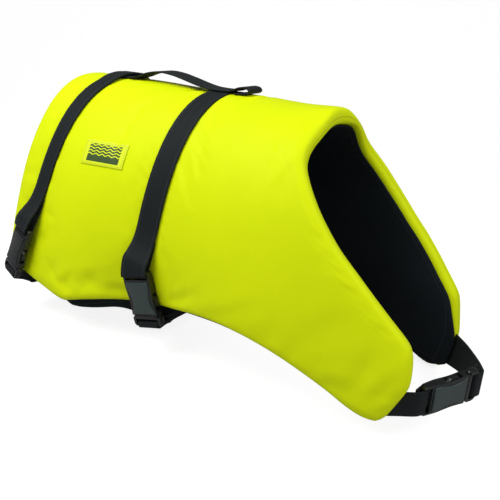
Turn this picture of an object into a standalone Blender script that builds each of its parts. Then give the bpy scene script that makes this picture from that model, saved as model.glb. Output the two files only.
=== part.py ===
"""Dog life jacket: one padded saddle of bright cloth over foam, with a dark lining,
two girth straps, a chest strap, a lifting handle and three side-release buckles.

It keeps the hollow form that it has when worn. +X runs towards the head, +Z up and the
near flank is at -Y. The origin lies on the underside of the back, midway between the
girth straps. Driving sizes are in millimetres and become metres when a mesh is made.
"""
import math
from collections import namedtuple

import bmesh
import bpy
import numpy as np
from mathutils import Matrix, Vector

MM = 0.001                  # metres in a millimetre

# ---------------------------------------------------------------- driving dimensions
SEAM_GAP = 0.3              # between pieces that lie on each other
CHORD_ROOM = 0.3            # more of it where flat facets span a hollow curve
PAD_WALL = 16.5             # cover, foam and inner cover together
PAD_OUTER_ROUND = 7.0       # rounding of the rim towards the outside
LINING_WALL = 1.0
WEB_WALL = 1.6
WEB_BEND_SHARE = 14.0       # see curve_through
LABEL_WALL = 0.6

# The saddle's cross sections. The ridge is the top of the back outside, the crown is
# the length over which the back turns down, and the flare is how far the flank's foot
# stands away from the vertical, in degrees.
Section = namedtuple("Section", "x ridge crown flare")
SECTIONS = (
    Section(-142, 14.5, 60.0, 14.0),
    Section(-109, 15.6, 66.5, 12.2),
    Section(-62, 17.3, 81.5, 7.5),
    Section(0, 17.8, 83.5, 3.8),
    Section(62, 18.2, 81.5, 1.5),
    Section(142, 23.5, 83.0, 3.8),
    Section(229, 23.2, 71.0, 4.7),
    Section(327, 23.2, 55.0, 4.1),
)
CROWN_POWER = 1.25          # how evenly the back turns into the flank

# Where the middle girth strap draws the foot of the flank in.
TUCK_X = 50.0
TUCK_REACH = 46.0
TUCK_START = 205.0
TUCK_RUN = 46.0
TUCK_ANGLE = 17.0           # degrees

# The far shoulder lies further forward than the near one, and its chest flap hangs lower.
FarSide = namedtuple("FarSide", "s lead hang")
FAR_SIDE = (
    FarSide(0, 0.0, 0.0), FarSide(45, 10.0, 0.0), FarSide(110, 14.0, 1.0), FarSide(170, 8.0, 2.0),
    FarSide(210, 0.0, 4.0), FarSide(250, 5.0, 14.0), FarSide(300, 18.0, 17.0),
)
FAR_SIDE_START = 110.0
FAR_SIDE_RUN = 130.0

# The cut of one half, laid flat: x along the back, s down the flank from the ridge.
Point = namedtuple("Point", "x s")
REAR_CUT = (
    Point(-124, 0), Point(-125.5, 27), Point(-130, 76), Point(-136.5, 142),
    Point(-137.5, 200), Point(-135, 230), Point(-126, 252),
)
HEM_CUT = (
    Point(-126, 252), Point(-112, 257), Point(-76, 270), Point(-48, 279), Point(-37, 277.5),
    Point(-17, 271), Point(13, 263), Point(44, 257), Point(82, 250.5), Point(122, 246.5),
    Point(164, 248), Point(207, 254.5), Point(248.5, 266.5), Point(276, 277.5),
    Point(291, 281), Point(301, 280),
)
FRONT_CUT = (
    Point(194, 0), Point(193.5, 33), Point(192, 61), Point(192.5, 74), Point(196, 86),
    Point(207, 103.5), Point(222, 123), Point(242, 144), Point(262.5, 161), Point(292, 185.5),
    Point(311.5, 201.5), Point(317.5, 209.5), Point(320.5, 222), Point(321.5, 237),
    Point(319.5, 246), Point(313, 262), Point(307.5, 274), Point(301, 280),
)
# How far the lining hangs below the cover along the hem, and stays back elsewhere.
LINING_HANG = 13.5
LINING_HANG_X = 0.0
LINING_HANG_REACH = 50.0
LINING_HEM = 1.3
LINING_BACK = 4.5

PAD_CELLS_LONG = 26
PAD_CELLS_ROUND = 40        # even, so that one row of points runs along the ridge
ROW_POWER = 1.25            # rows lie closer together on the back than on the flank

# Girth straps: x on the ridge, how far each runs to the rear for each mm down the flank,
# the webbing's width and the far end of its sewn run. Then the buckle on the near flank:
# its size against the pattern below, where its upper bar lies, and how far it leans in
# under the hem, tilts forwards and faces the rear, in degrees.
Girth = namedtuple("Girth", "name x slant web hem_s size bar_s bar_out lean tilt turn")
GIRTHS = (
    Girth("rear", -67.0, 0.165, 21.0, 259.0, 0.94, 206.0, 8.2, 0.0, -12.5, 8.0),
    Girth("middle", 66.0, 0.085, 24.0, 254.0, 1.0, 215.0, 8.2, 9.0, 14.5, 0.0),
)
GIRTH_SEAM = 10.5           # a girth strap's far run ends this far above the hem
BELLY_SAG = 5.0

# Handle along the ridge: x, and the height of the webbing's middle above the back.
Rise = namedtuple("Rise", "x height")
HANDLE_RISE = (
    Rise(-74, 1.1), Rise(-60, 1.1), Rise(-50, 1.4), Rise(-43, 3.4), Rise(-30, 8.4),
    Rise(-14, 11.6), Rise(2, 11.1), Rise(17, 8.8), Rise(32, 5.9), Rise(44, 3.9),
    Rise(54, 3.1), Rise(72, 3.1), Rise(79, 4.2), Rise(86, 6.8), Rise(92, 7.8),
    Rise(97, 6.8), Rise(99, 4.6), Rise(97, 2.6), Rise(91, 1.7), Rise(82, 1.2),
)
HANDLE_WEB = 25.0
HANDLE_SEWN = 15.0          # half the width over which the rear strap rides over it
HANDLE_ARCH = 1.0           # how far the curved back falls away below its flat edges

# Side-release buckle for 25 mm webbing, along its own length from the socket's end.
BUCKLE_LENGTH = 60.0
BUCKLE_WIDTH = 33.0
BUCKLE_WAIST = 29.0
BUCKLE_WALL = 9.0
SOCKET_END = 46.5
BUCKLE_BAR = 3.0            # width of each end bar
BUCKLE_BAR_WALL = 3.0
SLOT_LENGTH = 5.4
SLOT_WIDTH = 26.4
CAVITY_WIDTH = 23.0
CAVITY_HEIGHT = 5.2
CAVITY_START = 20.5
WINDOW_START = 24.0
WINDOW_END = 41.5
FACE_WIDTH = 23.0
FACE_START = 16.5
FACE_RISE = 0.9

# Heights of webbing's middle: lying on the cover, lying on other webbing, round a bar.
LIE = SEAM_GAP + CHORD_ROOM + WEB_WALL / 2
OVER = LIE + WEB_WALL + SEAM_GAP
BAR_TURN = math.hypot(BUCKLE_BAR, BUCKLE_BAR_WALL) / 2 + SEAM_GAP + WEB_WALL / 2 + 0.2

# Chest buckle: the middles of its two end bars, and how far its face looks down, in
# degrees. The seams of its webbing are the chamfers of the chest flaps.
CHEST_NEAR_BAR = Vector((329.5, -63.5, -196.5))
CHEST_FAR_BAR = Vector((360.0, -15.5, -190.5))
CHEST_FACE_FALL = 3.0
CHEST_WEB = 25.0
CHEST_SEAM = Point(313.5, 261.0)
CHEST_SEAM_GAP = 1.5
CHEST_SPREAD_NEAR = 1.12    # each end is cut along its chamfer, so it is wider there
CHEST_SPREAD_FAR = 1.35
CHEST_BOW = 4.0             # how far the far webbing bows forwards

# A girth strap near its socket's bar: how far back up the flank from it, and how high the
# webbing's middle lies above where it lies flat, under the bar and then over it.
Step = namedtuple("Step", "back lift")
TAIL_UNDER = (Step(32, 0.0), Step(22, 0.1))
TAIL_RISE = Step(12, 0.5)   # the lift is here a share of the way up to the bar
OVER_BAR_DIP = Step(9, 1.2)
OVER_BAR = (Step(19, 4.0), Step(29, 2.3), Step(38, 0.9), Step(47, 0.0))
LAID_FROM = 58.0            # from this far back the strap lies flat
LAID_STATIONS = 35

# The belly webbing's run behind the prongs' bar: beyond the bar, and out from the buckle.
Run = namedtuple("Run", "beyond out")
RUN_IN = (Run(6.8, -26.0), Run(6.2, -17.0), Run(4.2, -9.5))

# Label on the near flank.
LABEL_X = -16.0
LABEL_S = 115.5
LABEL_LENGTH = 52.0
LABEL_HEIGHT = 25.0
LABEL_TURN = -0.09          # s gained for each mm of x, so it sits square to the ridge

COLOURS = {
    "cover": ((0.62, 0.80, 0.01, 1.0), 0.62),
    "lining": ((0.010, 0.011, 0.013, 1.0), 0.80),
    "webbing": ((0.013, 0.015, 0.020, 1.0), 0.72),
    "plastic": ((0.035, 0.045, 0.045, 1.0), 0.38),
    "label": ((0.04, 0.05, 0.01, 1.0), 0.70),
}


# ---------------------------------------------------------------- scene and materials
def clear_scene():
    for thing in list(bpy.data.objects):
        bpy.data.objects.remove(thing, do_unlink=True)


def new_collection(name):
    group = bpy.data.collections.new(name)
    bpy.context.scene.collection.children.link(group)
    return group


def make_material(name):
    colour, roughness = COLOURS[name]
    material = bpy.data.materials.new(name)
    material.use_nodes = True
    shader = material.node_tree.nodes["Principled BSDF"]
    shader.inputs["Base Color"].default_value = colour
    shader.inputs["Roughness"].default_value = roughness
    shader.inputs["Metallic"].default_value = 0.0
    material.diffuse_color = colour
    return material


# ---------------------------------------------------------------- the saddle's form
def smooth_column(stations, values, x):
    """A cubic curve through a table's column, straight on beyond its ends."""
    stations = np.asarray(stations, float)
    values = np.asarray(values, float)
    slopes = np.gradient(values, stations)
    x = np.asarray(x, float)
    i = np.clip(np.searchsorted(stations, x) - 1, 0, len(stations) - 2)
    width = stations[i + 1] - stations[i]
    t = np.clip((x - stations[i]) / width, 0.0, 1.0)
    a = values[i] * (1 + 2 * t) * (1 - t) ** 2 + values[i + 1] * t * t * (3 - 2 * t)
    b = width * (slopes[i] * t * (1 - t) ** 2 - slopes[i + 1] * t * t * (1 - t))
    return a + b


def smooth_step(t):
    t = np.clip(t, 0.0, 1.0)
    return t * t * (3 - 2 * t)


def turn_of_flank(x, s):
    """The angle in radians that the cloth has turned from level, s down the flank."""
    stations = [row.x for row in SECTIONS]
    crown = smooth_column(stations, [row.crown for row in SECTIONS], x)
    flare = smooth_column(stations, [row.flare for row in SECTIONS], x)
    turned = (90.0 - flare) * (1 - np.exp(-(s / crown) ** CROWN_POWER))
    pulled = np.exp(-((x - TUCK_X) / TUCK_REACH) ** 2) * smooth_step((s - TUCK_START) / TUCK_RUN)
    return np.radians(turned + TUCK_ANGLE * pulled)


def cover_point(x, s):
    """Points in mm on the cover, for arrays of x and s (minus on the near side)."""
    side = np.where(s < 0, -1.0, 1.0)
    runs = np.linspace(0.0, 1.0, 33)[None, :] * np.abs(s)[:, None]
    angle = turn_of_flank(x[:, None], runs)
    step = runs[:, 1:] - runs[:, :-1]
    middle = (angle[:, 1:] + angle[:, :-1]) / 2
    y = (np.cos(middle) * step).sum(axis=1)
    z = smooth_column([row.x for row in SECTIONS], [row.ridge for row in SECTIONS], x)
    z -= (np.sin(middle) * step).sum(axis=1)
    drawn = smooth_step((x - FAR_SIDE_START) / FAR_SIDE_RUN)
    stations = [row.s for row in FAR_SIDE]
    z -= drawn * smooth_column(stations, [row.hang for row in FAR_SIDE], s)
    forward = drawn * smooth_column(stations, [row.lead for row in FAR_SIDE], s)
    return np.stack([x + forward, side * y, z], axis=1)


def saddle(x, s, out=0.0):
    """Points in mm on the cover, s down the flank (minus on the near side), moved out."""
    x, s, out = np.broadcast_arrays(*(np.atleast_1d(np.asarray(v, float)) for v in (x, s, out)))
    along = cover_point(x + 0.5, s) - cover_point(x - 0.5, s)
    round_it = cover_point(x, s + 0.5) - cover_point(x, s - 0.5)
    normal = np.cross(along, round_it)
    normal /= np.linalg.norm(normal, axis=1)[:, None]
    return cover_point(x, s) + normal * out[:, None]


def on_saddle(x, s, out=0.0):
    return Vector(saddle(x, s, out)[0])


def saddle_frame(x, s):
    """Forwards, down the flank and outwards at one place on the cover, as unit vectors."""
    step = 1.0 if s >= 0 else -1.0
    forward = (on_saddle(x + 1, s) - on_saddle(x - 1, s)).normalized()
    down = (on_saddle(x, s + step) - on_saddle(x, s - step)).normalized()
    outward = forward.cross(down).normalized()
    if s < 0:
        outward.negate()
    return forward, down, outward


# ---------------------------------------------------------------- curves through points
def curve_through(points, samples, bend_share=0.0):
    """A smooth curve through the rows of points, resampled along its length.

    Samples is a number of points or their places from 0 to 1. Each radian of bend
    counts as bend_share more length, so that tight bends get more points.
    """
    points = np.asarray(points, float)
    ends = np.vstack([2 * points[0] - points[1], points, 2 * points[-1] - points[-2]])
    pieces = []
    t = np.linspace(0.0, 1.0, 9)[:-1, None]
    for a, b, c, d in zip(ends, ends[1:], ends[2:], ends[3:]):
        pieces.append(0.5 * (2 * b + (c - a) * t + (2 * a - 5 * b + 4 * c - d) * t ** 2
                             + (3 * b - a - 3 * c + d) * t ** 3))
    dense = np.vstack(pieces + [points[-1:]])
    steps = np.diff(dense[:, :3], axis=0)
    lengths = np.linalg.norm(steps, axis=1)
    turns = np.einsum("ij,ij->i", steps[1:], steps[:-1]) / (lengths[1:] * lengths[:-1])
    turned = np.concatenate([[0], np.arccos(np.clip(turns, -1, 1))])
    run = np.concatenate([[0], np.cumsum(lengths + bend_share * turned)])
    places = np.linspace(0, run[-1], samples) if np.isscalar(samples) else samples * run[-1]
    return np.stack([np.interp(places, run, column) for column in dense.T], axis=1)


def cut_patch(rear, hem, front, u, v):
    """Places (x, s) of one half's cut at u along the back and v down the flank, 0 to 1."""
    u = np.asarray(u, float)
    v = np.asarray(v, float)
    low = curve_through(hem, u)
    left = curve_through(rear, v)
    right = curve_through(front, v)
    top = np.stack([rear[0][0] + (front[0][0] - rear[0][0]) * u, np.zeros_like(u)], axis=1)
    a, b, c, d = (np.asarray(p, float) for p in (rear[0], front[0], front[-1], rear[-1]))
    u = u[:, None]
    v = v[:, None]
    corners = (1 - u) * (1 - v) * a + u * (1 - v) * b + u * v * c + (1 - u) * v * d
    return (1 - v) * top + v * low + (1 - u) * left + u * right - corners


def draw_back(u, v, places):
    """Moves the lining's edge points on the cut: back from the rims, down at the hem."""
    x, s = places.T.copy()
    hang = LINING_HANG * np.exp(-((x - LINING_HANG_X) / LINING_HANG_REACH) ** 4)
    last = np.abs(v - 1) < 0.001
    s[last] += np.maximum(hang, LINING_HEM)[last]
    x[u < 0.001] += LINING_BACK
    front = u > 0.999
    down = np.gradient(curve_through(FRONT_CUT, np.linspace(0, 1, 41)), axis=0)
    down /= np.linalg.norm(down, axis=1)[:, None]
    places_down = np.linspace(0, 1, 41)
    x[front] -= LINING_BACK * np.interp(v[front], places_down, down[:, 1])
    s[front] += LINING_BACK * np.interp(v[front], places_down, down[:, 0]) * (v[front] > 0)
    return np.stack([x, s], axis=1)


# ---------------------------------------------------------------- making meshes
def finish_object(name, mesh, material, group):
    thing = bpy.data.objects.new(name, mesh)
    thing.data.materials.clear()
    thing.data.materials.append(material)
    group.objects.link(thing)
    return thing


def sheet(name, cells_u, cells_v, place, wall, offset, material, group):
    """A grid of cells laid by place(u, v), both from 0 to 1, and thickened into a wall."""
    bm = bmesh.new()
    bmesh.ops.create_grid(bm, x_segments=cells_u, y_segments=cells_v, size=0.5)
    u = np.array([vert.co.x + 0.5 for vert in bm.verts])
    v = np.array([vert.co.y + 0.5 for vert in bm.verts])
    for vert, point in zip(bm.verts, place(u, v)):
        vert.co = Vector(point) * MM
    mesh = bpy.data.meshes.new(name)
    bm.to_mesh(mesh)
    bm.free()
    mesh.shade_smooth()
    thing = finish_object(name, mesh, material, group)
    thicken = thing.modifiers.new("wall", "SOLIDIFY")
    thicken.thickness = wall * MM
    thicken.offset = offset
    thicken.use_even_offset = offset != 0
    thicken.use_quality_normals = True
    return thing


def saddle_sheet(name, out, wall, material, group, edge=None):
    """The saddle's whole cut as a sheet, moved out; edge may move its outermost points."""

    def place(u, v):
        across = 2 * v - 1
        half = cut_patch(REAR_CUT, HEM_CUT, FRONT_CUT, u, np.abs(across) ** ROW_POWER)
        if edge:
            half = edge(u, np.abs(across) ** ROW_POWER, half)
        return saddle(half[:, 0], half[:, 1] * np.where(across < 0, -1, 1), out)

    return sheet(name, PAD_CELLS_LONG, PAD_CELLS_ROUND, place, wall, -1, material, group)


Station = namedtuple("Station", "middle across bulge", defaults=(Vector(),))


def ribbon(name, route, samples, width, group, material):
    """Flat webbing along a route of stations.

    Across points over the width. It is a unit vector, longer where a cut is slanted.
    The bulge moves the webbing's middle line off the straight line between its edges.
    """
    rows = [tuple(station.middle) + tuple(station.across.normalized()) + tuple(station.bulge)
            + (station.across.length,) for station in route]
    rows = curve_through(rows, samples, WEB_BEND_SHARE)
    spread = rows[:, 9] * width / np.linalg.norm(rows[:, 3:6], axis=1)

    def place(u, v):
        row = np.rint(u * (samples - 1)).astype(int)
        over = rows[row, 3:6] * ((v - 0.5) * spread[row])[:, None]
        return rows[row, :3] + over + rows[row, 6:9] * (1 - np.abs(2 * v - 1))[:, None]

    return sheet(name, samples - 1, 2, place, WEB_WALL, 0, material, group)


# ---------------------------------------------------------------- places on a buckle
Buckle = namedtuple("Buckle", "pose size")


def buckle_pose(start, along, outward):
    """A pose in mm whose Y runs from the socket's end to the prongs' end, Z facing out."""
    along = along.normalized()
    outward = (outward - along * outward.dot(along)).normalized()
    turn = Matrix((along.cross(outward), along, outward)).transposed().to_4x4()
    return Matrix.Translation(start) @ turn


def at_buckle(buckle, along, out):
    """A station at real distances along and out from the buckle's start."""
    return Station(buckle.pose @ Vector((0, along, out)), buckle.pose.to_3x3() @ Vector((1, 0, 0)))


def bar_places(buckle):
    """How far along the buckle the middles of its two end bars lie."""
    return BUCKLE_BAR / 2 * buckle.size, (BUCKLE_LENGTH - BUCKLE_BAR / 2) * buckle.size


def round_bar(buckle, bar, start, end, steps=7):
    """Stations for webbing round a bar, between two angles in degrees."""
    turn = []
    for i in range(steps + 1):
        angle = math.radians(start + (end - start) * i / steps)
        turn.append(at_buckle(buckle, bar + BAR_TURN * math.cos(angle), BAR_TURN * math.sin(angle)))
    return turn


def put_on(thing, buckle):
    metres = Matrix.Translation(buckle.pose.to_translation() * MM) @ buckle.pose.to_3x3().to_4x4()
    thing.matrix_world = metres @ Matrix.Scale(buckle.size, 4)


# ---------------------------------------------------------------- the buckles
def outline_plate(name, half, wall, material, group):
    """A plate cut to a mirrored outline, given as (x, y) along its right half."""
    points = list(half) + [(-x, y) for x, y in reversed(half) if x > 0]
    curve = bpy.data.curves.new(name, "CURVE")
    curve.dimensions = "2D"
    curve.fill_mode = "BOTH"
    curve.extrude = wall / 2 * MM
    line = curve.splines.new("POLY")
    line.points.add(len(points) - 1)
    for knot, (x, y) in zip(line.points, points):
        knot.co = (x * MM, y * MM, 0, 1)
    line.use_cyclic_u = True
    drawn = bpy.data.objects.new(name, curve)
    group.objects.link(drawn)
    bpy.context.view_layer.update()
    solid = drawn.evaluated_get(bpy.context.evaluated_depsgraph_get())
    mesh = bpy.data.meshes.new_from_object(solid)
    bm = bmesh.new()
    bm.from_mesh(mesh)
    bmesh.ops.remove_doubles(bm, verts=bm.verts, dist=0.00001)
    bm.to_mesh(mesh)
    bm.free()
    bpy.data.objects.remove(drawn, do_unlink=True)
    return finish_object(name, mesh, material, group)


def block(name, low, high, group):
    """A box between two corners, in mm, kept as a cutter or as stock to be joined."""
    bm = bmesh.new()
    bmesh.ops.create_cube(bm, size=1)
    low = Vector(low)
    high = Vector(high)
    for vert in bm.verts:
        vert.co = Vector([(low[i] + high[i]) / 2 + vert.co[i] * (high[i] - low[i])
                          for i in range(3)]) * MM
    mesh = bpy.data.meshes.new(name)
    bm.to_mesh(mesh)
    bm.free()
    thing = bpy.data.objects.new(name, mesh)
    thing.hide_render = True
    thing.display_type = "WIRE"
    group.objects.link(thing)
    return thing


def combine(thing, other, operation):
    step = thing.modifiers.new(other.name, "BOOLEAN")
    step.operation = operation
    step.object = other
    other.parent = thing


def open_end(thing, name, end, inward, cutters):
    """Cuts the webbing slot at one end of a buckle half and thins its end bar."""
    slot_near = end + inward * BUCKLE_BAR
    slot_far = end + inward * (BUCKLE_BAR + SLOT_LENGTH)
    wide = SLOT_WIDTH / 2
    tall = BUCKLE_WALL
    slot_low, slot_high = sorted((slot_near, slot_far))
    slot = block(name + "_slot_cut", (-wide, slot_low, -tall), (wide, slot_high, tall), cutters)
    combine(thing, slot, "DIFFERENCE")
    bar_low, bar_high = sorted((end - inward, slot_near + inward))
    for label, near, far in (("over", BUCKLE_BAR_WALL / 2, tall), ("under", -tall, -BUCKLE_BAR_WALL / 2)):
        thin = block(name + "_" + label + "_cut", (-wide, bar_low, near), (wide, bar_high, far), cutters)
        combine(thing, thin, "DIFFERENCE")


def soften(thing, width):
    bevel = thing.modifiers.new("soft_edges", "BEVEL")
    bevel.width = width * MM
    bevel.segments = 2
    bevel.limit_method = "ANGLE"
    bevel.angle_limit = math.radians(50)


def make_socket(name, buckle, plastic, parts, cutters):
    """The half that holds the prongs, with side windows and a raised face."""
    edge = BUCKLE_WIDTH / 2
    waist = BUCKLE_WAIST / 2
    half = ((edge - 1.5, 0), (edge, 1.5), (edge, 12), (waist + 0.8, 17), (waist, 22),
            (waist - 0.4, 32), (waist, 41), (waist + 0.6, SOCKET_END))
    socket = outline_plate(name, half, BUCKLE_WALL, plastic, parts)
    soften(socket, 0.9)
    face = block(name + "_face", (-FACE_WIDTH / 2, FACE_START, 0),
                 (FACE_WIDTH / 2, SOCKET_END - 1.2, BUCKLE_WALL / 2 + FACE_RISE), cutters)
    combine(socket, face, "UNION")
    wide = CAVITY_WIDTH / 2
    tall = CAVITY_HEIGHT / 2
    cavity = block(name + "_cavity", (-wide, CAVITY_START, -tall), (wide, SOCKET_END + 1, tall), cutters)
    combine(socket, cavity, "DIFFERENCE")
    window = block(name + "_window", (-edge - 1, WINDOW_START, -tall), (edge + 1, WINDOW_END, tall), cutters)
    combine(socket, window, "DIFFERENCE")
    open_end(socket, name, 0, 1, cutters)
    put_on(socket, buckle)
    return socket


def make_prongs(name, buckle, plastic, parts, cutters):
    """The half with two springy prongs and a guide, held in the socket."""
    edge = BUCKLE_WIDTH / 2
    inner = CAVITY_WIDTH / 2
    root = SOCKET_END + 0.4
    half = ((1.3, 23), (1.6, 25), (1.8, root + 2), (7.6, root + 2), (7.4, 28), (8.4, 23.5),
            (10.2, 22.5), (12.2, 26.2), (15.4, 28.5), (15.2, 37), (13.2, 40), (inner - 0.5, 40.8),
            (inner - 0.5, root + 1.5), (edge - 2, root + 1.5), (edge, root + 4),
            (edge, BUCKLE_LENGTH - 1.5), (edge - 1.5, BUCKLE_LENGTH))
    prongs = outline_plate(name, half, CAVITY_HEIGHT - 0.8, plastic, parts)
    wide = inner + 2.4
    tall = BUCKLE_WALL / 2
    heel = block(name + "_heel", (-wide, root, -tall), (wide, root + 4, tall), cutters)
    combine(prongs, heel, "UNION")
    cheeks = block(name + "_cheeks", (-edge + 0.4, root + 3, -tall + 0.8),
                   (edge - 0.4, BUCKLE_LENGTH - 0.6, tall - 0.8), cutters)
    combine(prongs, cheeks, "UNION")
    open_end(prongs, name, BUCKLE_LENGTH, -1, cutters)
    put_on(prongs, buckle)
    return prongs


# ---------------------------------------------------------------- the pieces
def make_pad(cover, parts):
    pad = saddle_sheet("padded_saddle", 0.0, PAD_WALL, cover, parts)
    rim = pad.modifiers.new("rolled_rim", "BEVEL")
    rim.width = PAD_OUTER_ROUND * MM
    rim.segments = 2
    rim.limit_method = "ANGLE"
    rim.angle_limit = math.radians(62)
    return pad


def make_lining(material, parts):
    out = -(PAD_WALL + SEAM_GAP + CHORD_ROOM)
    return saddle_sheet("lining", out, LINING_WALL, material, parts, draw_back)


def girth_buckle(girth):
    x = girth.x - girth.slant * girth.bar_s
    forward, down, outward = saddle_frame(x, -girth.bar_s)
    start = on_saddle(x, -girth.bar_s, girth.bar_out)
    lean = math.radians(girth.lean)
    tilt = math.radians(girth.tilt)
    turn = math.radians(girth.turn)
    along = down * math.cos(lean) * math.cos(tilt) - outward * math.sin(lean) + forward * math.sin(tilt)
    face = outward * math.cos(turn) - forward * math.sin(turn)
    return Buckle(buckle_pose(start, along, face), girth.size)


def strap_station(girth, s, out):
    """A girth strap's station at s, its edges and middle all lying on the saddle."""
    ahead = 2.0 if s < 0 else -2.0
    x = girth.x - girth.slant * abs(s)
    forward, down, _ = saddle_frame(x, s)
    path = on_saddle(x, s) - on_saddle(girth.x - girth.slant * abs(s + ahead), s + ahead)
    if s < 0:
        path.negate()
    path.normalize()
    across = (path * forward.dot(path) - forward).normalized()
    step_x = across.dot(forward) * girth.web / 2
    step_s = across.dot(down) * girth.web / 2 * (1 if s >= 0 else -1)
    first = on_saddle(x - step_x, s - step_s, out)
    last = on_saddle(x + step_x, s + step_s, out)
    between = (first + last) / 2
    return Station(between, (last - first) / girth.web, on_saddle(x, s, out) - between)


def make_back_strap(girth, buckle, webbing, parts):
    """Webbing sewn over the back. Its near end turns round the socket's bar."""
    bar = girth.bar_s
    high = girth.bar_out
    route = [strap_station(girth, step.back - bar, LIE + step.lift) for step in TAIL_UNDER]
    to_bar = TAIL_RISE.lift * (high - BAR_TURN - LIE)
    route.append(strap_station(girth, TAIL_RISE.back - bar, LIE + to_bar))
    route += round_bar(buckle, bar_places(buckle)[0], 265, 450)
    dip = high + BAR_TURN - OVER_BAR_DIP.lift
    route.append(strap_station(girth, OVER_BAR_DIP.back - bar, dip))
    route += [strap_station(girth, step.back - bar, LIE + step.lift) for step in OVER_BAR]
    last = girth.hem_s - GIRTH_SEAM
    over_handle = OVER - LIE + HANDLE_ARCH if girth.x < 0 else 0
    for s in np.linspace(LAID_FROM - bar, last, LAID_STATIONS):
        lift = over_handle * float(smooth_step((HANDLE_SEWN + 10 - abs(s)) / 9))
        route.append(strap_station(girth, s, LIE + lift))
    return ribbon(girth.name + "_back_strap", route, 76, girth.web, parts, webbing)


def make_belly_strap(girth, buckle, webbing, parts):
    """The free run of the webbing, from the prongs' bar under the belly to the far flank."""
    bar = bar_places(buckle)[1]
    sewn = WEB_WALL + SEAM_GAP
    route = [at_buckle(buckle, bar + run.beyond - sewn, run.out) for run in RUN_IN]
    route += round_bar(buckle, bar, 200, -5, 8)
    route += [at_buckle(buckle, bar + run.beyond, run.out) for run in reversed(RUN_IN)]
    start = route[-1]
    top = strap_station(girth, girth.hem_s - GIRTH_SEAM + SEAM_GAP, LIE)
    hem = strap_station(girth, girth.hem_s + 3, LIE)
    under = Station(hem.middle + Vector((0, -7.0, -8.0)), hem.across)
    low = min(start.middle.z, under.middle.z) - BELLY_SAG
    for share in (0.25, 0.5, 0.75):
        middle = start.middle.lerp(under.middle, share)
        middle.z += (low - middle.z) * 4 * share * (1 - share)
        route.append(Station(middle, start.across.lerp(under.across, share).normalized()))
    route += [under, hem, top]
    return ribbon(girth.name + "_belly_strap", route, 56, girth.web, parts, webbing)


def make_handle(webbing, parts):
    across = Vector((0, -1, 0))
    route = [Station(on_saddle(row.x, 0, row.height), across) for row in HANDLE_RISE]
    return ribbon("handle", route, 56, HANDLE_WEB, parts, webbing)


def chest_buckle():
    along = CHEST_FAR_BAR - CHEST_NEAR_BAR
    level = along.cross(Vector((0, 0, 1))).normalized()
    fall = math.radians(CHEST_FACE_FALL)
    face = level * math.cos(fall) - Vector((0, 0, math.sin(fall)))
    start = CHEST_NEAR_BAR - along.normalized() * BUCKLE_BAR / 2
    return Buckle(buckle_pose(start, along, face), 1.0)


def chest_seam(side, spread):
    """The station of the webbing's end on the chamfer of one chest flap."""
    middle = -PAD_WALL / 2
    upper = on_saddle(CHEST_SEAM.x + 5, side * (CHEST_SEAM.s - 13), middle)
    lower = on_saddle(CHEST_SEAM.x - 5, side * (CHEST_SEAM.s + 13), middle)
    seam = on_saddle(CHEST_SEAM.x + CHEST_SEAM_GAP, side * CHEST_SEAM.s, middle)
    return Station(seam, (lower - upper).normalized() * spread)


def make_chest_straps(buckle, webbing, parts):
    """Two lengths of webbing from the seams of the chest flaps to the buckle's bars."""
    near_bar, far_bar = bar_places(buckle)
    across = at_buckle(buckle, 0, 0).across
    seam = chest_seam(-1, CHEST_SPREAD_NEAR)
    before_bar = at_buckle(buckle, near_bar - 7, BAR_TURN - 0.9)
    halfway = Station(seam.middle.lerp(before_bar.middle, 0.5), seam.across.lerp(across, 0.5))
    near = [seam, halfway, before_bar]
    near += round_bar(buckle, near_bar, 100, -90)
    near.append(at_buckle(buckle, near_bar - 6.5, 2.3 - BAR_TURN))
    seam = chest_seam(1, CHEST_SPREAD_FAR)
    apex = at_buckle(buckle, far_bar + 9, -1.5)
    far = [seam]
    for share, turned in ((0.3, 0.4), (0.7, 0.85)):
        middle = seam.middle.lerp(apex.middle, share) + Vector((CHEST_BOW, 0, 0))
        far.append(Station(middle, seam.across.lerp(across, turned)))
    far += [apex, at_buckle(buckle, far_bar + 6, BAR_TURN - 0.9)]
    far += round_bar(buckle, far_bar, 75, 270)
    far += [at_buckle(buckle, far_bar + 4, -4.8), at_buckle(buckle, far_bar + 9, -9.5)]
    ribbon("chest_strap_near", near, 26, CHEST_WEB, parts, webbing)
    ribbon("chest_strap_far", far, 34, CHEST_WEB, parts, webbing)


def make_label(material, parts):
    def place(u, v):
        x = LABEL_X + (u - 0.5) * LABEL_LENGTH
        s = LABEL_S + (v - 0.5) * LABEL_HEIGHT + (x - LABEL_X) * LABEL_TURN
        return saddle(x, -s, SEAM_GAP)

    return sheet("label", 6, 5, place, LABEL_WALL, -1, material, parts)


def main():
    clear_scene()
    parts = new_collection("dog_life_jacket")
    cutters = new_collection("cutters")
    cover, lining, webbing, plastic, label = (make_material(name) for name in COLOURS)
    make_pad(cover, parts)
    make_lining(lining, parts)
    make_label(label, parts)
    make_handle(webbing, parts)
    buckles = []
    for girth in GIRTHS:
        buckle = girth_buckle(girth)
        make_back_strap(girth, buckle, webbing, parts)
        make_belly_strap(girth, buckle, webbing, parts)
        buckles.append((girth.name, buckle))
    buckles.append(("chest", chest_buckle()))
    make_chest_straps(buckles[-1][1], webbing, parts)
    for name, buckle in buckles:
        make_socket(name + "_buckle_socket", buckle, plastic, parts, cutters)
        make_prongs(name + "_buckle_prongs", buckle, plastic, parts, cutters)
    bpy.context.view_layer.update()


main()
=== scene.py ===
"""Looks of the dog life jacket: padded yellow cover, dark lining, webbing, buckles, patch.

Every cloth piece is laid on the same saddle as its solid, so the tables of the cut and of
the girth straps come first, in millimetres, x towards the head and s down the flank.
"""
import math
from collections import namedtuple

import bpy
import numpy as np
from mathutils import Matrix, Vector


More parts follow.
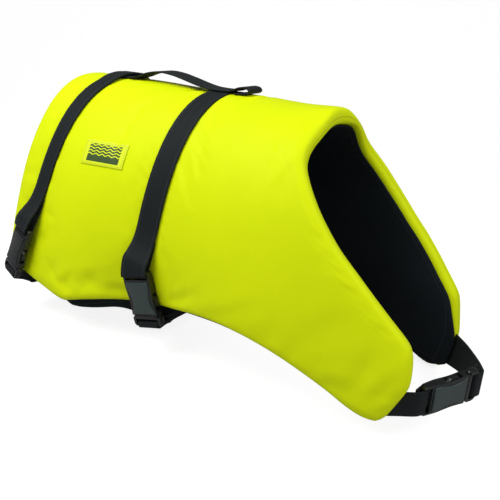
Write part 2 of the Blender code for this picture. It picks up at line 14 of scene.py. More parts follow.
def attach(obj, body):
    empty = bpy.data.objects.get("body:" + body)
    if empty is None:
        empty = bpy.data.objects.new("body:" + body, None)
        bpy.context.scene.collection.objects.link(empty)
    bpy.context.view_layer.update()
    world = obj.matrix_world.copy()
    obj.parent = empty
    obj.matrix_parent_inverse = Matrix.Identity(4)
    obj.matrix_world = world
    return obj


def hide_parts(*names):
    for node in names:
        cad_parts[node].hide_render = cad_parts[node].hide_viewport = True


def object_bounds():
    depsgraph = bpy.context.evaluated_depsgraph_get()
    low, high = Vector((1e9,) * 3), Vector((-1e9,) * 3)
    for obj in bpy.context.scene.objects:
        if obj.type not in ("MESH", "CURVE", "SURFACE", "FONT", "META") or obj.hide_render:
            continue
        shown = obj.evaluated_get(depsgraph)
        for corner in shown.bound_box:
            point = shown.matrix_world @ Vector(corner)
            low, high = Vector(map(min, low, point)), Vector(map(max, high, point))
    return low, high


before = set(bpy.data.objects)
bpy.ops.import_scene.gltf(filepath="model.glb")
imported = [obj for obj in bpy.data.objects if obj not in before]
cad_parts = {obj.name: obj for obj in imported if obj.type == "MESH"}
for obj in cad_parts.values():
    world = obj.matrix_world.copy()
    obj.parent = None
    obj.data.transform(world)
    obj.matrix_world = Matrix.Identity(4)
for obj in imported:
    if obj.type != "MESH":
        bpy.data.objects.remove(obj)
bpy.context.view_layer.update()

MM = 0.001                  # metres in a millimetre


def table(columns, *rows):
    """Rows of values under named columns."""
    return tuple(map(namedtuple("Row", columns)._make, rows))


# ---- the saddle's sizes
SEAM_GAP = 0.3
CHORD_ROOM = 0.3
PAD_WALL = 16.5
LINING_WALL = 1.0
WEB_WALL = 1.6
WEB_BEND_SHARE = 14.0
FLANK_STEPS = 33            # steps down the flank that a place on the cover is summed over
CURVE_STEPS = 9

SECTIONS = table(
    "x ridge crown flare",
    (-142, 14.5, 60.0, 14.0),
    (-109, 15.6, 66.5, 12.2),
    (-62, 17.3, 81.5, 7.5),
    (0, 17.8, 83.5, 3.8),
    (62, 18.2, 81.5, 1.5),
    (142, 23.5, 83.0, 3.8),
    (229, 23.2, 71.0, 4.7),
    (327, 23.2, 55.0, 4.1),
)
CROWN_POWER = 1.25
TUCK_X = 50.0
TUCK_REACH = 46.0
TUCK_START = 205.0
TUCK_RUN = 46.0
TUCK_ANGLE = 17.0

FAR_SIDE = table(
    "s lead hang",
    (0, 0.0, 0.0), (45, 10.0, 0.0), (110, 14.0, 1.0), (170, 8.0, 2.0),
    (210, 0.0, 4.0), (250, 5.0, 14.0), (300, 18.0, 17.0),
)
FAR_SIDE_START = 110.0
FAR_SIDE_RUN = 130.0

REAR_CUT = table(
    "x s",
    (-124, 0), (-125.5, 27), (-130, 76), (-136.5, 142),
    (-137.5, 200), (-135, 230), (-126, 252),
)
HEM_CUT = table(
    "x s",
    (-126, 252), (-112, 257), (-76, 270), (-48, 279), (-37, 277.5),
    (-17, 271), (13, 263), (44, 257), (82, 250.5), (122, 246.5),
    (164, 248), (207, 254.5), (248.5, 266.5), (276, 277.5),
    (291, 281), (301, 280),
)
FRONT_CUT = table(
    "x s",
    (194, 0), (193.5, 33), (192, 61), (192.5, 74), (196, 86),
    (207, 103.5), (222, 123), (242, 144), (262.5, 161), (292, 185.5),
    (311.5, 201.5), (317.5, 209.5), (320.5, 222), (321.5, 237),
    (319.5, 246), (313, 262), (307.5, 274), (301, 280),
)
Cut = namedtuple("Cut", "rear hem front")
COVER_CUT = Cut(REAR_CUT, HEM_CUT, FRONT_CUT)
# The lining's hanging stretch: round which x and how far to each side, how far it shows below
# the hem under the belly, how far back it ends on a chest flap, and its further drop.
Hang = namedtuple("Hang", "x reach hem flap_back drop")
NEAR_HANG = Hang(15.0, 70.0, 7.4, 4.5, 12.5)
FAR_HANG = Hang(0.0, 50.0, 1.3, -2.5, 0.0)
LINING_HANG = 15.0
LINING_DROP_X = 48.0        # where the near hang drops further, behind the middle buckle
LINING_DROP_REACH = 24.0
HANG_FREED = 0.9            # how far the hanging cloth turns to straight down
HANG_TURN = 9.0             # and over what length below the hem
LINING_TUCKED = 1.3         # how far it reaches below the hem behind the hanging stretch
LINING_BACK = 4.5           # how far it ends inside the rear and front rims
LINING_CORNER = 14.0        # how far from a corner the lining's hem turns to meet it
FLAP_START = 205.0
FLAP_RUN = 45.0
FLAP_END = 280.0
FLAP_END_RUN = 12.0

GIRTHS = table(
    "name x slant web hem_s size bar_s bar_out lean tilt turn",
    ("rear", -67.0, 0.165, 21.0, 259.0, 0.94, 206.0, 8.2, 0.0, -12.5, 8.0),
    ("middle", 66.0, 0.085, 24.0, 254.0, 1.0, 215.0, 8.2, 9.0, 14.5, 0.0),
)
GIRTH_SEAM = 10.5
BELLY_SAG = 5.0

HANDLE_RISE = table(
    "x height",
    (-74, 1.1), (-60, 1.1), (-50, 1.4), (-43, 3.4), (-30, 8.4),
    (-14, 11.6), (2, 11.1), (17, 8.8), (32, 5.9), (44, 3.9),
    (54, 3.1), (72, 3.1), (79, 4.2), (86, 6.8), (92, 7.8),
    (97, 6.8), (99, 4.6), (97, 2.6), (91, 1.7), (82, 1.2),
)
HANDLE_WEB = 25.0
HANDLE_SEWN = 15.0
HANDLE_ARCH = 1.0
HANDLE_SEATS = ((-76.0, -44.0), (46.0, 101.0))

BUCKLE_LENGTH = 60.0
BUCKLE_WIDTH = 33.0
BUCKLE_WAIST = 29.0
BUCKLE_WALL = 9.0
SOCKET_END = 46.5
BUCKLE_BAR = 3.0
BUCKLE_BAR_WALL = 3.0
SLOT_LENGTH = 5.4
SLOT_WIDTH = 26.4
CAVITY_WIDTH = 23.0
CAVITY_HEIGHT = 5.2
CAVITY_START = 20.5
WINDOW_START = 24.0
WINDOW_END = 41.5
BUCKLE_CORNER = 4.2
SOCKET_NARROWER = 1.3       # at its bar the socket is this much narrower on each side
SOCKET_TAPER = 0.25         # and this much of its wall thinner
SOCKET_TAPER_END = 22.0
FACE_WIDTH = 24.6
FACE_START = 10.4
FACE_RISE = 0.9

LIE = SEAM_GAP + CHORD_ROOM + WEB_WALL / 2
OVER = LIE + WEB_WALL + SEAM_GAP
BAR_TURN = math.hypot(BUCKLE_BAR, BUCKLE_BAR_WALL) / 2 + SEAM_GAP + WEB_WALL / 2 + 0.2

CHEST_NEAR_BAR = Vector((329.5, -63.5, -196.5))
CHEST_FAR_BAR = Vector((360.0, -15.5, -190.5))
CHEST_FACE_FALL = 3.0
CHEST_WEB = 25.0
CHEST_SEAM_X = 313.5
CHEST_SEAM_S = 261.0
CHEST_SEAM_DEPTH = 3.0      # how far the webbing's ends run into the flaps' seams
CHEST_EDGE_SLOPE = 5.0 / 13.0
CHEST_EDGE_HALF = 13.0      # from the seam to each place that gives the chamfer's direction
CHEST_SPREAD_NEAR = 1.12
CHEST_SPREAD_FAR = 1.6
CHEST_HIGHER_FAR = 5.0      # the far end is sewn in this much higher up the flap's edge
CHEST_BOW = 4.0
BELLY_DIP = Vector((0, -7.0, -8.0))  # from the far hem to where the belly webbing leaves it
BELLY_PAST_HEM = 3.0

# Places on the webbing: how far back from a bar, how high and how many times its width.
Step = namedtuple("Step", "back lift spread", defaults=(1.0,))
TAIL_UNDER = (Step(32, 0.0), Step(22, 0.1))
TAIL_RISE = Step(12, 0.5)
OVER_BAR_TOP = Step(9, 1.2, 1.2)
OVER_BAR = (Step(17, 7.2, 1.13), Step(25, 3.4, 1.03), Step(33, 1.2), Step(43, 0.0))
# How loosely webbing turns round a bar: eased along, risen above it and spread.
Loop = namedtuple("Loop", "ease rise spread")
SNUG = Loop(0.0, 0.0, 1.0)
LUMP = Loop(2.2, 2.4, 1.2)
LAID_FROM = 58.0
LAID_STATIONS = 35
RUN_IN = table("beyond out", (6.8, -26.0), (6.2, -17.0), (4.2, -9.5))
# The same for the chest webbing, before and after it turns round each bar.
NEAR_BEFORE, NEAR_AFTER = table("beyond out", (-7, BAR_TURN - 0.9), (-6.5, 2.3 - BAR_TURN))
FAR_APEX, FAR_BEFORE = table("beyond out", (9, -1.5), (6, BAR_TURN - 0.9))
FAR_AFTER = table("beyond out", (4, -4.8), (9, -9.5))

LABEL_X = -16.0
LABEL_S = 115.5
LABEL_LENGTH = 52.0
LABEL_HEIGHT = 25.0
LABEL_TURN = -0.09
LABEL_LIE = 0.6             # how far the patch lies off the cover
LABEL_CELLS = 26, 14
LABEL_WALL = 0.45
LABEL_EDGE = 0.12

# ---- the cover's softness
RIM_ROUND = PAD_WALL / 2    # the rim rolls over within this far of its edge
RIM_POWER = 2.8             # 2 would roll it in a half circle, and more makes it squarer
RIM_SAMPLES = 90            # points along each run of the cut's edge, to measure from
RIM_ROWS = 8                # rows of points that a quarter of the roll takes
RIM_ROW_POWER = 1.5         # and how close together they lie at its edge
SWELL_PRESS = 0.3           # how far a strap presses the cover down
SWELL_REACH = 15.0
LIFT_CELLS_LONG = 58        # the coarse cloth that the foam's pressure lifts between its seams
LIFT_CELLS_ROUND = 78
LIFT_FRAMES = 20
LIFT_PRESSURE = 4.0
LIFT_SLACK = 0.004          # how much longer the cover is than the foam below it
LIFT_CAP = 3.2
LIFT_QUALITY = 6
LIFT_STIFFNESS = 20
LIFT_BENDING = 0.6
LIFT_HELD_RIM = 6.0         # the cloth is held this near the rim and this far beside a strap
LIFT_HELD_STRAP = 1.5
COVER_CELLS_LONG = 150
COVER_CELLS_ROUND = 196
COVER_LENGTH = 390.0        # the length and the girth that the rim's close rows are spaced for
COVER_GIRTH = 520.0
MERGE = 0.00001             # metres within which points are one

# Soft troughs in the cover: place, direction of the trough in degrees from x towards s,
# its half length, half width and depth. A minus depth is a ridge.
CREASES = table(
    "x s angle length width depth",
    # the shoulder, where the back ends at the neck opening, near side and then far side
    (183, -36, 62, 20, 5.0, 1.6), (176, -60, 75, 17, 4.5, -0.7),
    (168, -88, 80, 24, 6.0, 1.0), (154, -96, 84, 30, 7.0, 0.7),
    (183, 40, -60, 20, 5.0, 1.5), (170, 82, -78, 25, 6.5, 0.9),
    (148, 8, 90, 60, 34.0, 3.0),
    # short drags above the hem between the girth straps
    (-38, -256, 70, 13, 4.5, 1.1), (-12, -247, 30, 14, 7.0, 1.5),
    (14, -249, 12, 17, 5.0, 1.0), (-58, -246, 60, 16, 6.0, 0.7),
    (-30, 252, -66, 14, 5.0, 1.1), (6, 246, -20, 17, 6.5, 1.3),
    # drags in front of the middle strap, along the belly edge
    (94, -236, 28, 16, 5.0, 0.9), (112, -228, 40, 13, 5.5, 0.8),
    (150, -236, 18, 18, 6.0, 0.7), (172, -222, 34, 15, 6.0, 0.6),
    (98, 234, -28, 17, 5.0, 0.9), (152, 238, -22, 19, 6.0, 0.8),
    # chest flaps
    (284, -236, 74, 22, 7.0, 1.2), (300, -250, 64, 14, 5.0, 0.9),
    (262, -262, 12, 18, 7.0, 1.1), (246, -214, 52, 24, 9.0, 0.5),
    (286, 240, -74, 22, 7.0, 1.1), (256, 260, -14, 18, 7.0, 1.0),
    # rear edge
    (-112, -78, 8, 15, 4.5, 0.6), (-116, -150, 4, 15, 5.0, 0.6),
    (-112, 96, -8, 15, 4.5, 0.6), (-114, 168, -4, 15, 5.0, 0.6),
)
# Where the rim is pinched at the shoulders: its place and reach, and how far the cover's
# outer and inner sides sink.
SHOULDERS = table(
    "x s width length outer inner",
    (196, 34, 17.0, 17.0, 3.4, -2.4), (190, 58, 38.0, 26.0, 5.2, 0.3),
    (195, -44, 16.0, 16.0, 3.4, 1.2),
)

# Small gathers across the rolled front rim of both flanks: where they start and end down
# the flank, their spacing, how far they reach in and how deep they are.
GATHER_START = 88.0
GATHER_END = 205.0
GATHER_SPACING = 23.0
GATHER_REACH = 16.0
GATHER_DEPTH = 0.75
GATHER_X = 180.0            # they lie forward of here, and fade over GATHER_FADE at each end
GATHER_X_RUN = 10.0
GATHER_FADE = 20.0
GATHER_SWAY = 31.0
GATHER_SHIFT_NEAR = 7.0
GATHER_SHARE_NEAR = 0.4
GATHER_NARROW = 0.012
CREASE_LIP = 0.45           # the share of a crease's depth that stands up beside it

LINING_CELLS_LONG = 96
LINING_CELLS_ROUND = 128
LINING_EASE = 0.6           # the lining's slack away from its rim, and how soon it has it
LINING_EASE_RUN = 25.0
WAVE_LONG = 0.35            # height of its waves along the back, their spacing and sway
WAVE_LONG_X = 19.0
WAVE_SWAY = 0.9
WAVE_SWAY_S = 47.0
WAVE_FROM = 70.0
WAVE_SHORT = 0.25           # and of its waves down the flank
WAVE_SHORT_S = 13.0
WAVE_SHORT_X = 60.0

WEB_CELLS_ACROSS = 6
WEB_EDGE = 0.45
BACK_ROWS = 220
BELLY_ROWS = 150
HANDLE_ROWS = 160
CHEST_ROWS = 90, 110

# ---- view and light
IMAGE_SIDE = 500.0
CAMERA_TURN = 30.5
CAMERA_RISE = 21.2
CAMERA_ROLL = 5.4
CAMERA_REACH = 668.06
CAMERA_TARGET = Vector((109.65, 0.0, -139.19))
FOCAL_PIXELS = 628.2
SENSOR = 36.0
FLOOR_DROP = 4.0            # the pale floor lies this far below the lowest point
SWEEP_REACH = 2.6           # metres from the jacket to where the paper turns up
SWEEP_BEND = 1.4
PAPER_TONE = (0.42, 0.42, 0.42, 1)
PAPER_GLOW = 0.82           # so that the paper looks white but throws little light back up
WORLD_GLOW = 0.36

SOFTBOXES = table(
    "name place aim size power",
    ("top_softbox", (-0.25, -0.52, 0.66), (0.03, 0.0, -0.06), (0.6, 0.6), 6.9),
    ("near_softbox", (0.0, -1.9, 0.7), (0.1, 0.0, -0.1), (1.2, 1.0), 1.9),
    ("front_softbox", (1.15, -0.1, 0.85), (0.2, 0.0, -0.1), (0.8, 0.8), 7.6),
)


# ---- form of the saddle
def smooth_column(stations, values, x):
    """A cubic curve through a table's column, straight on beyond its ends."""
    stations = np.asarray(stations, float)
    values = np.asarray(values, float)
    slopes = np.gradient(values, stations)
    x = np.asarray(x, float)
    i = np.clip(np.searchsorted(stations, x) - 1, 0, len(stations) - 2)
    width = stations[i + 1] - stations[i]
    t = np.clip((x - stations[i]) / width, 0.0, 1.0)
    a = values[i] * (1 + 2 * t) * (1 - t) ** 2 + values[i + 1] * t * t * (3 - 2 * t)
    b = width * (slopes[i] * t * (1 - t) ** 2 - slopes[i + 1] * t * t * (1 - t))
    return a + b


def column(rows, name, x):
    """A smooth curve through a table's named column, over its first one."""
    return smooth_column([row[0] for row in rows], [getattr(row, name) for row in rows], x)


def smooth_step(t):
    t = np.clip(t, 0.0, 1.0)
    return t * t * (3 - 2 * t)


def turn_of_flank(x, s):
    """The angle in radians that the cloth has turned from level, s down the flank."""
    turned = 1 - np.exp(-(s / column(SECTIONS, "crown", x)) ** CROWN_POWER)
    turned = (90.0 - column(SECTIONS, "flare", x)) * turned
    pulled = np.exp(-((x - TUCK_X) / TUCK_REACH) ** 2) * smooth_step((s - TUCK_START) / TUCK_RUN)
    return np.radians(turned + TUCK_ANGLE * pulled)


def cover_point(x, s):
    """Points in mm on the cover, for arrays of x and s (minus on the near side)."""
    side = np.where(s < 0, -1.0, 1.0)
    runs = np.linspace(0.0, 1.0, FLANK_STEPS)[None, :] * np.abs(s)[:, None]
    angle = turn_of_flank(x[:, None], runs)
    step = runs[:, 1:] - runs[:, :-1]
    middle = (angle[:, 1:] + angle[:, :-1]) / 2
    y = (np.cos(middle) * step).sum(axis=1)
    z = column(SECTIONS, "ridge", x) - (np.sin(middle) * step).sum(axis=1)
    drawn = smooth_step((x - FAR_SIDE_START) / FAR_SIDE_RUN)
    z -= drawn * column(FAR_SIDE, "hang", s)
    forward = drawn * column(FAR_SIDE, "lead", s)
    return np.stack([x + forward, side * y, z], axis=1)


def saddle(x, s, out=0.0):
    """Points in mm on the cover, s down the flank (minus on the near side), moved out."""
    x, s, out = np.broadcast_arrays(*(np.atleast_1d(np.asarray(v, float)) for v in (x, s, out)))
    along = cover_point(x + 0.5, s) - cover_point(x - 0.5, s)
    round_it = cover_point(x, s + 0.5) - cover_point(x, s - 0.5)
    normal = np.cross(along, round_it)
    normal /= np.linalg.norm(normal, axis=1)[:, None]
    return cover_point(x, s) + normal * out[:, None]


def on_saddle(x, s, out=0.0):
    return Vector(saddle(x, s, out)[0])


def saddle_frame(x, s):
    """Forwards, down the flank and outwards at one place on the cover, as unit vectors."""
    step = 1.0 if s >= 0 else -1.0
    forward = (on_saddle(x + 1, s) - on_saddle(x - 1, s)).normalized()
    down = (on_saddle(x, s + step) - on_saddle(x, s - step)).normalized()
    outward = forward.cross(down).normalized()
    if s < 0:
        outward.negate()
    return forward, down, outward


def curve_through(points, samples, bend_share=0.0):
    """A smooth curve through the rows of points, resampled along its length.

    Samples is a number of points or their places from 0 to 1. Each radian of bend
    counts as bend_share more length, so that tight bends get more points.
    """
    points = np.asarray(points, float)
    ends = np.vstack([2 * points[0] - points[1], points, 2 * points[-1] - points[-2]])
    pieces = []
    t = np.linspace(0.0, 1.0, CURVE_STEPS)[:-1, None]
    for a, b, c, d in zip(ends, ends[1:], ends[2:], ends[3:]):
        pieces.append(0.5 * (2 * b + (c - a) * t + (2 * a - 5 * b + 4 * c - d) * t ** 2
                             + (3 * b - a - 3 * c + d) * t ** 3))
    dense = np.vstack(pieces + [points[-1:]])
    steps = np.diff(dense[:, :3], axis=0)
    lengths = np.linalg.norm(steps, axis=1)
    turns = np.einsum("ij,ij->i", steps[1:], steps[:-1]) / (lengths[1:] * lengths[:-1])
    turned = np.concatenate([[0], np.arccos(np.clip(turns, -1, 1))])
    run = np.concatenate([[0], np.cumsum(lengths + bend_share * turned)])
    places = np.linspace(0, run[-1], samples) if np.isscalar(samples) else samples * run[-1]
    return np.stack([np.interp(places, run, values) for values in dense.T], axis=1)


def cut_patch(cut, u, v):
    """Places (x, s) of one half's cut at u along the back and v down the flank, 0 to 1."""
    low = curve_through(cut.hem, u)
    left = curve_through(cut.rear, v)
    right = curve_through(cut.front, v)
    a, b, c, d = (np.asarray(p, float) for p in (cut.rear[0], cut.front[0], cut.front[-1], cut.rear[-1]))
    u = u[:, None]
    v = v[:, None]
    top = a + (b - a) * u
    corners = (1 - u) * (1 - v) * a + u * (1 - v) * b + u * v * c + (1 - u) * v * d
    return (1 - v) * top + v * low + (1 - u) * left + u * right - corners


def to_rim(x, s):
    """Distance in mm from places (x, |s|) on the cut to its edge."""
    place = np.stack([x, np.abs(s)], axis=1)
    nearest = np.full(len(place), 1000.0)
    for side in COVER_CUT:
        run = curve_through(side, RIM_SAMPLES)
        for a, b in zip(run[:-1], run[1:]):
            along = b - a
            t = np.clip((place - a) @ along / (along @ along), 0, 1)
            gap = np.linalg.norm(place - (a + t[:, None] * along), axis=1)
            nearest = np.minimum(nearest, gap)
    return nearest


def beside_straps(x, s):
    """Distances in mm from places on the cover to each strap and seat of the handle."""
    flank = np.abs(s)
    for girth in GIRTHS:
        yield np.maximum(np.abs(x - girth.x + girth.slant * flank) - girth.web / 2, 0)
    for start, end in HANDLE_SEATS:
        yield np.hypot(np.maximum(np.maximum(start - x, x - end), 0),
                       np.maximum(flank - HANDLE_WEB / 2, 0))


def cover_folds(x, s, rim):
    """How far straps, creases and gathers move the cover out from the foam."""
    flank = np.abs(s)
    pressed = 1 - np.prod([1 - np.exp(-(beside / SWELL_REACH) ** 2) for beside in beside_straps(x, s)],
                          axis=0)
    out = -SWELL_PRESS * pressed
    for crease in CREASES:
        angle = math.radians(crease.angle)
        dx = x - crease.x
        ds = s - crease.s
        along = (dx * math.cos(angle) + ds * math.sin(angle)) / crease.length
        across = (ds * math.cos(angle) - dx * math.sin(angle)) / crease.width
        out -= crease.depth * np.exp(-along ** 2 - across ** 2)
        out += CREASE_LIP * crease.depth * np.exp(-along ** 2 - (np.abs(across) - 2.0) ** 2)
    front = smooth_step((x - GATHER_X) / GATHER_X_RUN) * np.exp(-(rim / GATHER_REACH) ** 2)
    between = smooth_step((flank - GATHER_START) / GATHER_FADE)
    between = between * smooth_step((GATHER_END - flank) / GATHER_FADE)
    wave = flank + 0.35 * GATHER_SPACING * np.sin(flank / GATHER_SWAY)
    wave = wave + np.where(s < 0, GATHER_SHIFT_NEAR, 0.0)
    sharp = np.exp(-((wave / GATHER_SPACING + 0.5) % 1 - 0.5) ** 2 / GATHER_NARROW)
    side = np.where(s < 0, GATHER_SHARE_NEAR, 1.0)
    return out - GATHER_DEPTH * side * sharp * front * between


def shoulder_dips(x, s):
    """How far the outer and the inner side sink at the shoulders, where the back ends."""
    outer = np.zeros_like(x)
    inner = np.zeros_like(x)
    for place in SHOULDERS:
        near = np.exp(-((x - place.x) / place.width) ** 2 - ((s - place.s) / place.length) ** 2)
        outer += place.outer * near
        inner += place.inner * near
    return outer, inner


# ---- making cloth
def deselect():
    if bpy.context.object and bpy.context.object.mode != "OBJECT":
        bpy.ops.object.mode_set(mode="OBJECT")
    bpy.ops.object.select_all(action="DESELECT")


def select_only(*things):
    deselect()
    for thing in things:
        thing.select_set(True)
    bpy.context.view_layer.objects.active = things[0]


def new_object(name, data):
    thing = bpy.data.objects.new(name, data)
    bpy.context.scene.collection.objects.link(thing)
    return thing


def edit_whole(thing, *steps):
    """Runs edit steps on all of a mesh, each an operator and its settings."""
    select_only(thing)
    bpy.ops.object.mode_set(mode="EDIT")
    bpy.ops.mesh.select_all(action="SELECT")
    for step, settings in steps:
        step(**settings)
    bpy.ops.object.mode_set(mode="OBJECT")


def apply_all(thing):
    select_only(thing)
    for step in [modifier.name for modifier in thing.modifiers]:
        bpy.ops.object.modifier_apply(modifier=step)


def new_grid(name, cells_u, cells_v):
    """A flat grid of cells to be laid out as cloth."""
    deselect()
    bpy.ops.mesh.primitive_grid_add(x_subdivisions=cells_u, y_subdivisions=cells_v, size=1,
                                    location=(0, 0, 0))
    thing = bpy.context.object
    thing.name = name
    thing.data.name = name
    return thing


def points_of(thing):
    co = np.zeros(len(thing.data.vertices) * 3)
    thing.data.vertices.foreach_get("co", co)
    return co.reshape(-1, 3)


def grid_steps(thing, cells_u, cells_v):
    """The column and row of each point of a grid."""
    co = points_of(thing)
    return (np.rint((co[:, 0] + 0.5) * cells_u).astype(int),
            np.rint((co[:, 1] + 0.5) * cells_v).astype(int))


def move_points(thing, places):
    """Puts a mesh's points at places given in mm."""
    thing.data.vertices.foreach_set("co", (np.asarray(places) * MM).ravel())
    thing.data.update()


def lay_uv(thing, flat):
    """Writes places on the cut, in metres, as the piece's UV map, for weave and stitches."""
    corner = np.zeros(len(thing.data.loops), int)
    thing.data.loops.foreach_get("vertex_index", corner)
    layer = thing.data.uv_layers[0]
    layer.name = "cut"
    layer.data.foreach_set("uv", (np.asarray(flat)[corner] * MM).ravel())


def round_edges(thing, width, segments, degrees):
    bevel = thing.modifiers.new("edges", "BEVEL")
    bevel.width = width * MM
    bevel.segments = segments
    bevel.limit_method = "ANGLE"
    bevel.angle_limit = math.radians(degrees)
    apply_all(thing)


def add_wall(thing, wall, offset, round_edge=0.0):
    """Gives laid cloth its thickness, and rounds its cut edges."""
    thicken = thing.modifiers.new("wall", "SOLIDIFY")
    thicken.thickness = wall * MM
    thicken.offset = offset
    thicken.use_quality_normals = True
    apply_all(thing)
    if round_edge:
        round_edges(thing, round_edge, 2, 50)


def smooth_by_angle(thing, degrees):
    select_only(thing)
    bpy.ops.object.shade_smooth_by_angle(angle=math.radians(degrees))


def dress(thing, material, slot, *nodes):
    """Gives a finished piece its material, and fixes it to the jacket in place of its solids."""
    thing.data.materials.clear()
    thing.data.materials.append(material)
    deselect()
    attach(thing, "root")
    if nodes:
        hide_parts(*nodes)


def rows_with_rim(cells, length):
    """Places from 0 to 1 whose rows lie close together where the rim rolls, at both ends."""
    turn = math.pi / 2 * np.linspace(0, 1, RIM_ROWS + 1)[:-1] ** RIM_ROW_POWER
    rolled = RIM_ROUND * (1 - np.cos(turn) ** (2 / RIM_POWER)) / length
    inner = RIM_ROUND / length
    return np.concatenate([rolled, np.linspace(inner, 1 - inner, cells + 1 - 2 * RIM_ROWS), 1 - rolled[::-1]])


def write_measure(thing, name, distance):
    """Keeps a distance for each point, in mm, for the seams and stitches in the material."""
    layer = thing.data.attributes.new(name, "FLOAT", "POINT")
    layer.data.foreach_set("value", np.asarray(distance, float))


def saddle_places(thing, cut, rows_u, rows_v):
    """Column, row and place on the cut for each point of a grid over the whole saddle."""
    i, j = grid_steps(thing, len(rows_u) - 1, len(rows_v) - 1)
    across = 2 * rows_v[j] - 1
    half = cut_patch(cut, rows_u[i], np.abs(across))
    return i, j, half[:, 0], half[:, 1] * np.where(across < 0, -1, 1)


def lift_by_foam():
    """How far the foam's pressure lifts the cover, in mm, over an even grid of the whole cut.

    A coarse copy of the outer cloth is held at the rim, the straps and the handle's seats,
    and simulated as cloth a little longer than the foam below it.
    """
    trial = new_grid("cover_trial", LIFT_CELLS_LONG, LIFT_CELLS_ROUND)
    i, j, x, s = saddle_places(trial, COVER_CUT, np.linspace(0, 1, LIFT_CELLS_LONG + 1),
                               np.linspace(0, 1, LIFT_CELLS_ROUND + 1))
    rim = to_rim(x, s)
    start = saddle(x, s)
    move_points(trial, start)
    strapped = np.min(list(beside_straps(x, s)), axis=0) < LIFT_HELD_STRAP
    held = trial.vertex_groups.new(name="held")
    held.add([int(k) for k in np.flatnonzero((rim < LIFT_HELD_RIM) | strapped)], 1.0, "REPLACE")
    cloth = trial.modifiers.new("lift", "CLOTH")
    cloth.settings.quality = LIFT_QUALITY
    cloth.settings.vertex_group_mass = held.name
    cloth.settings.tension_stiffness = LIFT_STIFFNESS
    cloth.settings.compression_stiffness = LIFT_STIFFNESS
    cloth.settings.bending_stiffness = LIFT_BENDING
    cloth.settings.shrink_min = -LIFT_SLACK
    cloth.settings.use_pressure = True
    cloth.settings.uniform_pressure_force = LIFT_PRESSURE
    cloth.settings.effector_weights.gravity = 0
    cloth.collision_settings.use_collision = False
    for frame_number in range(1, LIFT_FRAMES + 1):
        bpy.context.scene.frame_set(frame_number)
    apply_all(trial)
    normal = saddle(x, s, 1.0) - start
    lift = ((points_of(trial) / MM - start) * normal).sum(axis=1)
    grid = np.zeros((LIFT_CELLS_LONG + 1, LIFT_CELLS_ROUND + 1))
    grid[i, j] = LIFT_CAP * np.tanh(lift / LIFT_CAP)
    bpy.data.objects.remove(trial, do_unlink=True)
    bpy.context.scene.frame_set(1)
    return grid


def spread_evenly(grid, rows_u, rows_v):
    """A smooth surface through an even grid of values, at other rows and columns."""
    even_u, even_v = (np.linspace(0, 1, count) for count in grid.shape)
    wide = np.array([smooth_column(even_v, row, rows_v) for row in grid])
    return np.array([smooth_column(even_u, line, rows_u) for line in wide.T]).T


def make_cover():
    """The foam-filled saddle in one piece, outside and inside, closed along its rolled rim."""
    rows_u = rows_with_rim(COVER_CELLS_LONG, COVER_LENGTH)
    rows_v = rows_with_rim(COVER_CELLS_ROUND, COVER_GIRTH)
    outer = new_grid("cover", COVER_CELLS_LONG, COVER_CELLS_ROUND)
    i, j, x, s = saddle_places(outer, COVER_CUT, rows_u, rows_v)
    rim = to_rim(x, s)
    on_edge = (i == 0) | (i == COVER_CELLS_LONG) | (j == 0) | (j == COVER_CELLS_ROUND)
    rim[on_edge] = 0.0
    rolled = np.minimum(rim, RIM_ROUND)
    half_wall = RIM_ROUND * (1 - (1 - rolled / RIM_ROUND) ** RIM_POWER) ** (1 / RIM_POWER)
    lift = spread_evenly(lift_by_foam(), rows_u, rows_v)[i, j]
    swell = (lift + cover_folds(x, s, rim)) * smooth_step(rim / RIM_ROUND)
    lay_uv(outer, np.stack([x, s], axis=1))
    write_measure(outer, "from_seam", half_wall)
    select_only(outer)
    bpy.ops.object.duplicate()
    inner = bpy.context.object
    outer_dip, inner_dip = shoulder_dips(x, s)
    share = half_wall / RIM_ROUND
    middle = (outer_dip + inner_dip) / 2
    pinched = (outer_dip - inner_dip) / 2 * share
    move_points(outer, saddle(x, s, half_wall - RIM_ROUND + swell - middle - pinched))
    move_points(inner, saddle(x, s, -half_wall - RIM_ROUND - middle + pinched))
    edit_whole(inner, (bpy.ops.mesh.flip_normals, {}))
    select_only(outer, inner)
    bpy.ops.object.join()
    edit_whole(outer, (bpy.ops.mesh.remove_doubles, {"threshold": MERGE}))
    outer.data.shade_smooth()
    return outer


def lining_cut(side):
    """The lining's own cut: back from the rims, and hanging below a stretch of the hem."""
    rear = curve_through(REAR_CUT, RIM_SAMPLES) + (LINING_BACK, 0)
    front = curve_through(FRONT_CUT, RIM_SAMPLES)
    down = np.gradient(front, axis=0)
    down /= np.linalg.norm(down, axis=1)[:, None]
    on_flap = smooth_step((front[:, 1] - FLAP_START) / FLAP_RUN)
    on_flap *= smooth_step((FLAP_END - front[:, 1]) / FLAP_END_RUN)
    back = LINING_BACK + (side.flap_back - LINING_BACK) * on_flap
    front = front + back[:, None] * np.stack([-down[:, 1], down[:, 0]], axis=1)
    front[0, 1] = 0.0
    hem = curve_through(HEM_CUT, RIM_SAMPLES)
    hang = LINING_HANG * np.exp(-((hem[:, 0] - side.x) / side.reach) ** 4)
    shown = LINING_TUCKED + (side.hem - LINING_TUCKED) * smooth_step(hem[:, 0] / side.reach)
    hem[:, 1] += np.maximum(hang, shown)
    hem[:, 1] += side.drop * np.exp(-((hem[:, 0] - LINING_DROP_X) / LINING_DROP_REACH) ** 2)
    from_rear = np.exp(-np.linalg.norm(hem - hem[0], axis=1) / LINING_CORNER)[:, None]
    from_front = np.exp(-np.linalg.norm(hem - hem[-1], axis=1) / LINING_CORNER)[:, None]
    hem = hem + from_rear * (rear[-1] - hem[0]) + from_front * (front[-1] - hem[-1])
    hem[0] = rear[-1]
    hem[-1] = front[-1]
    return Cut(rear, hem, front)


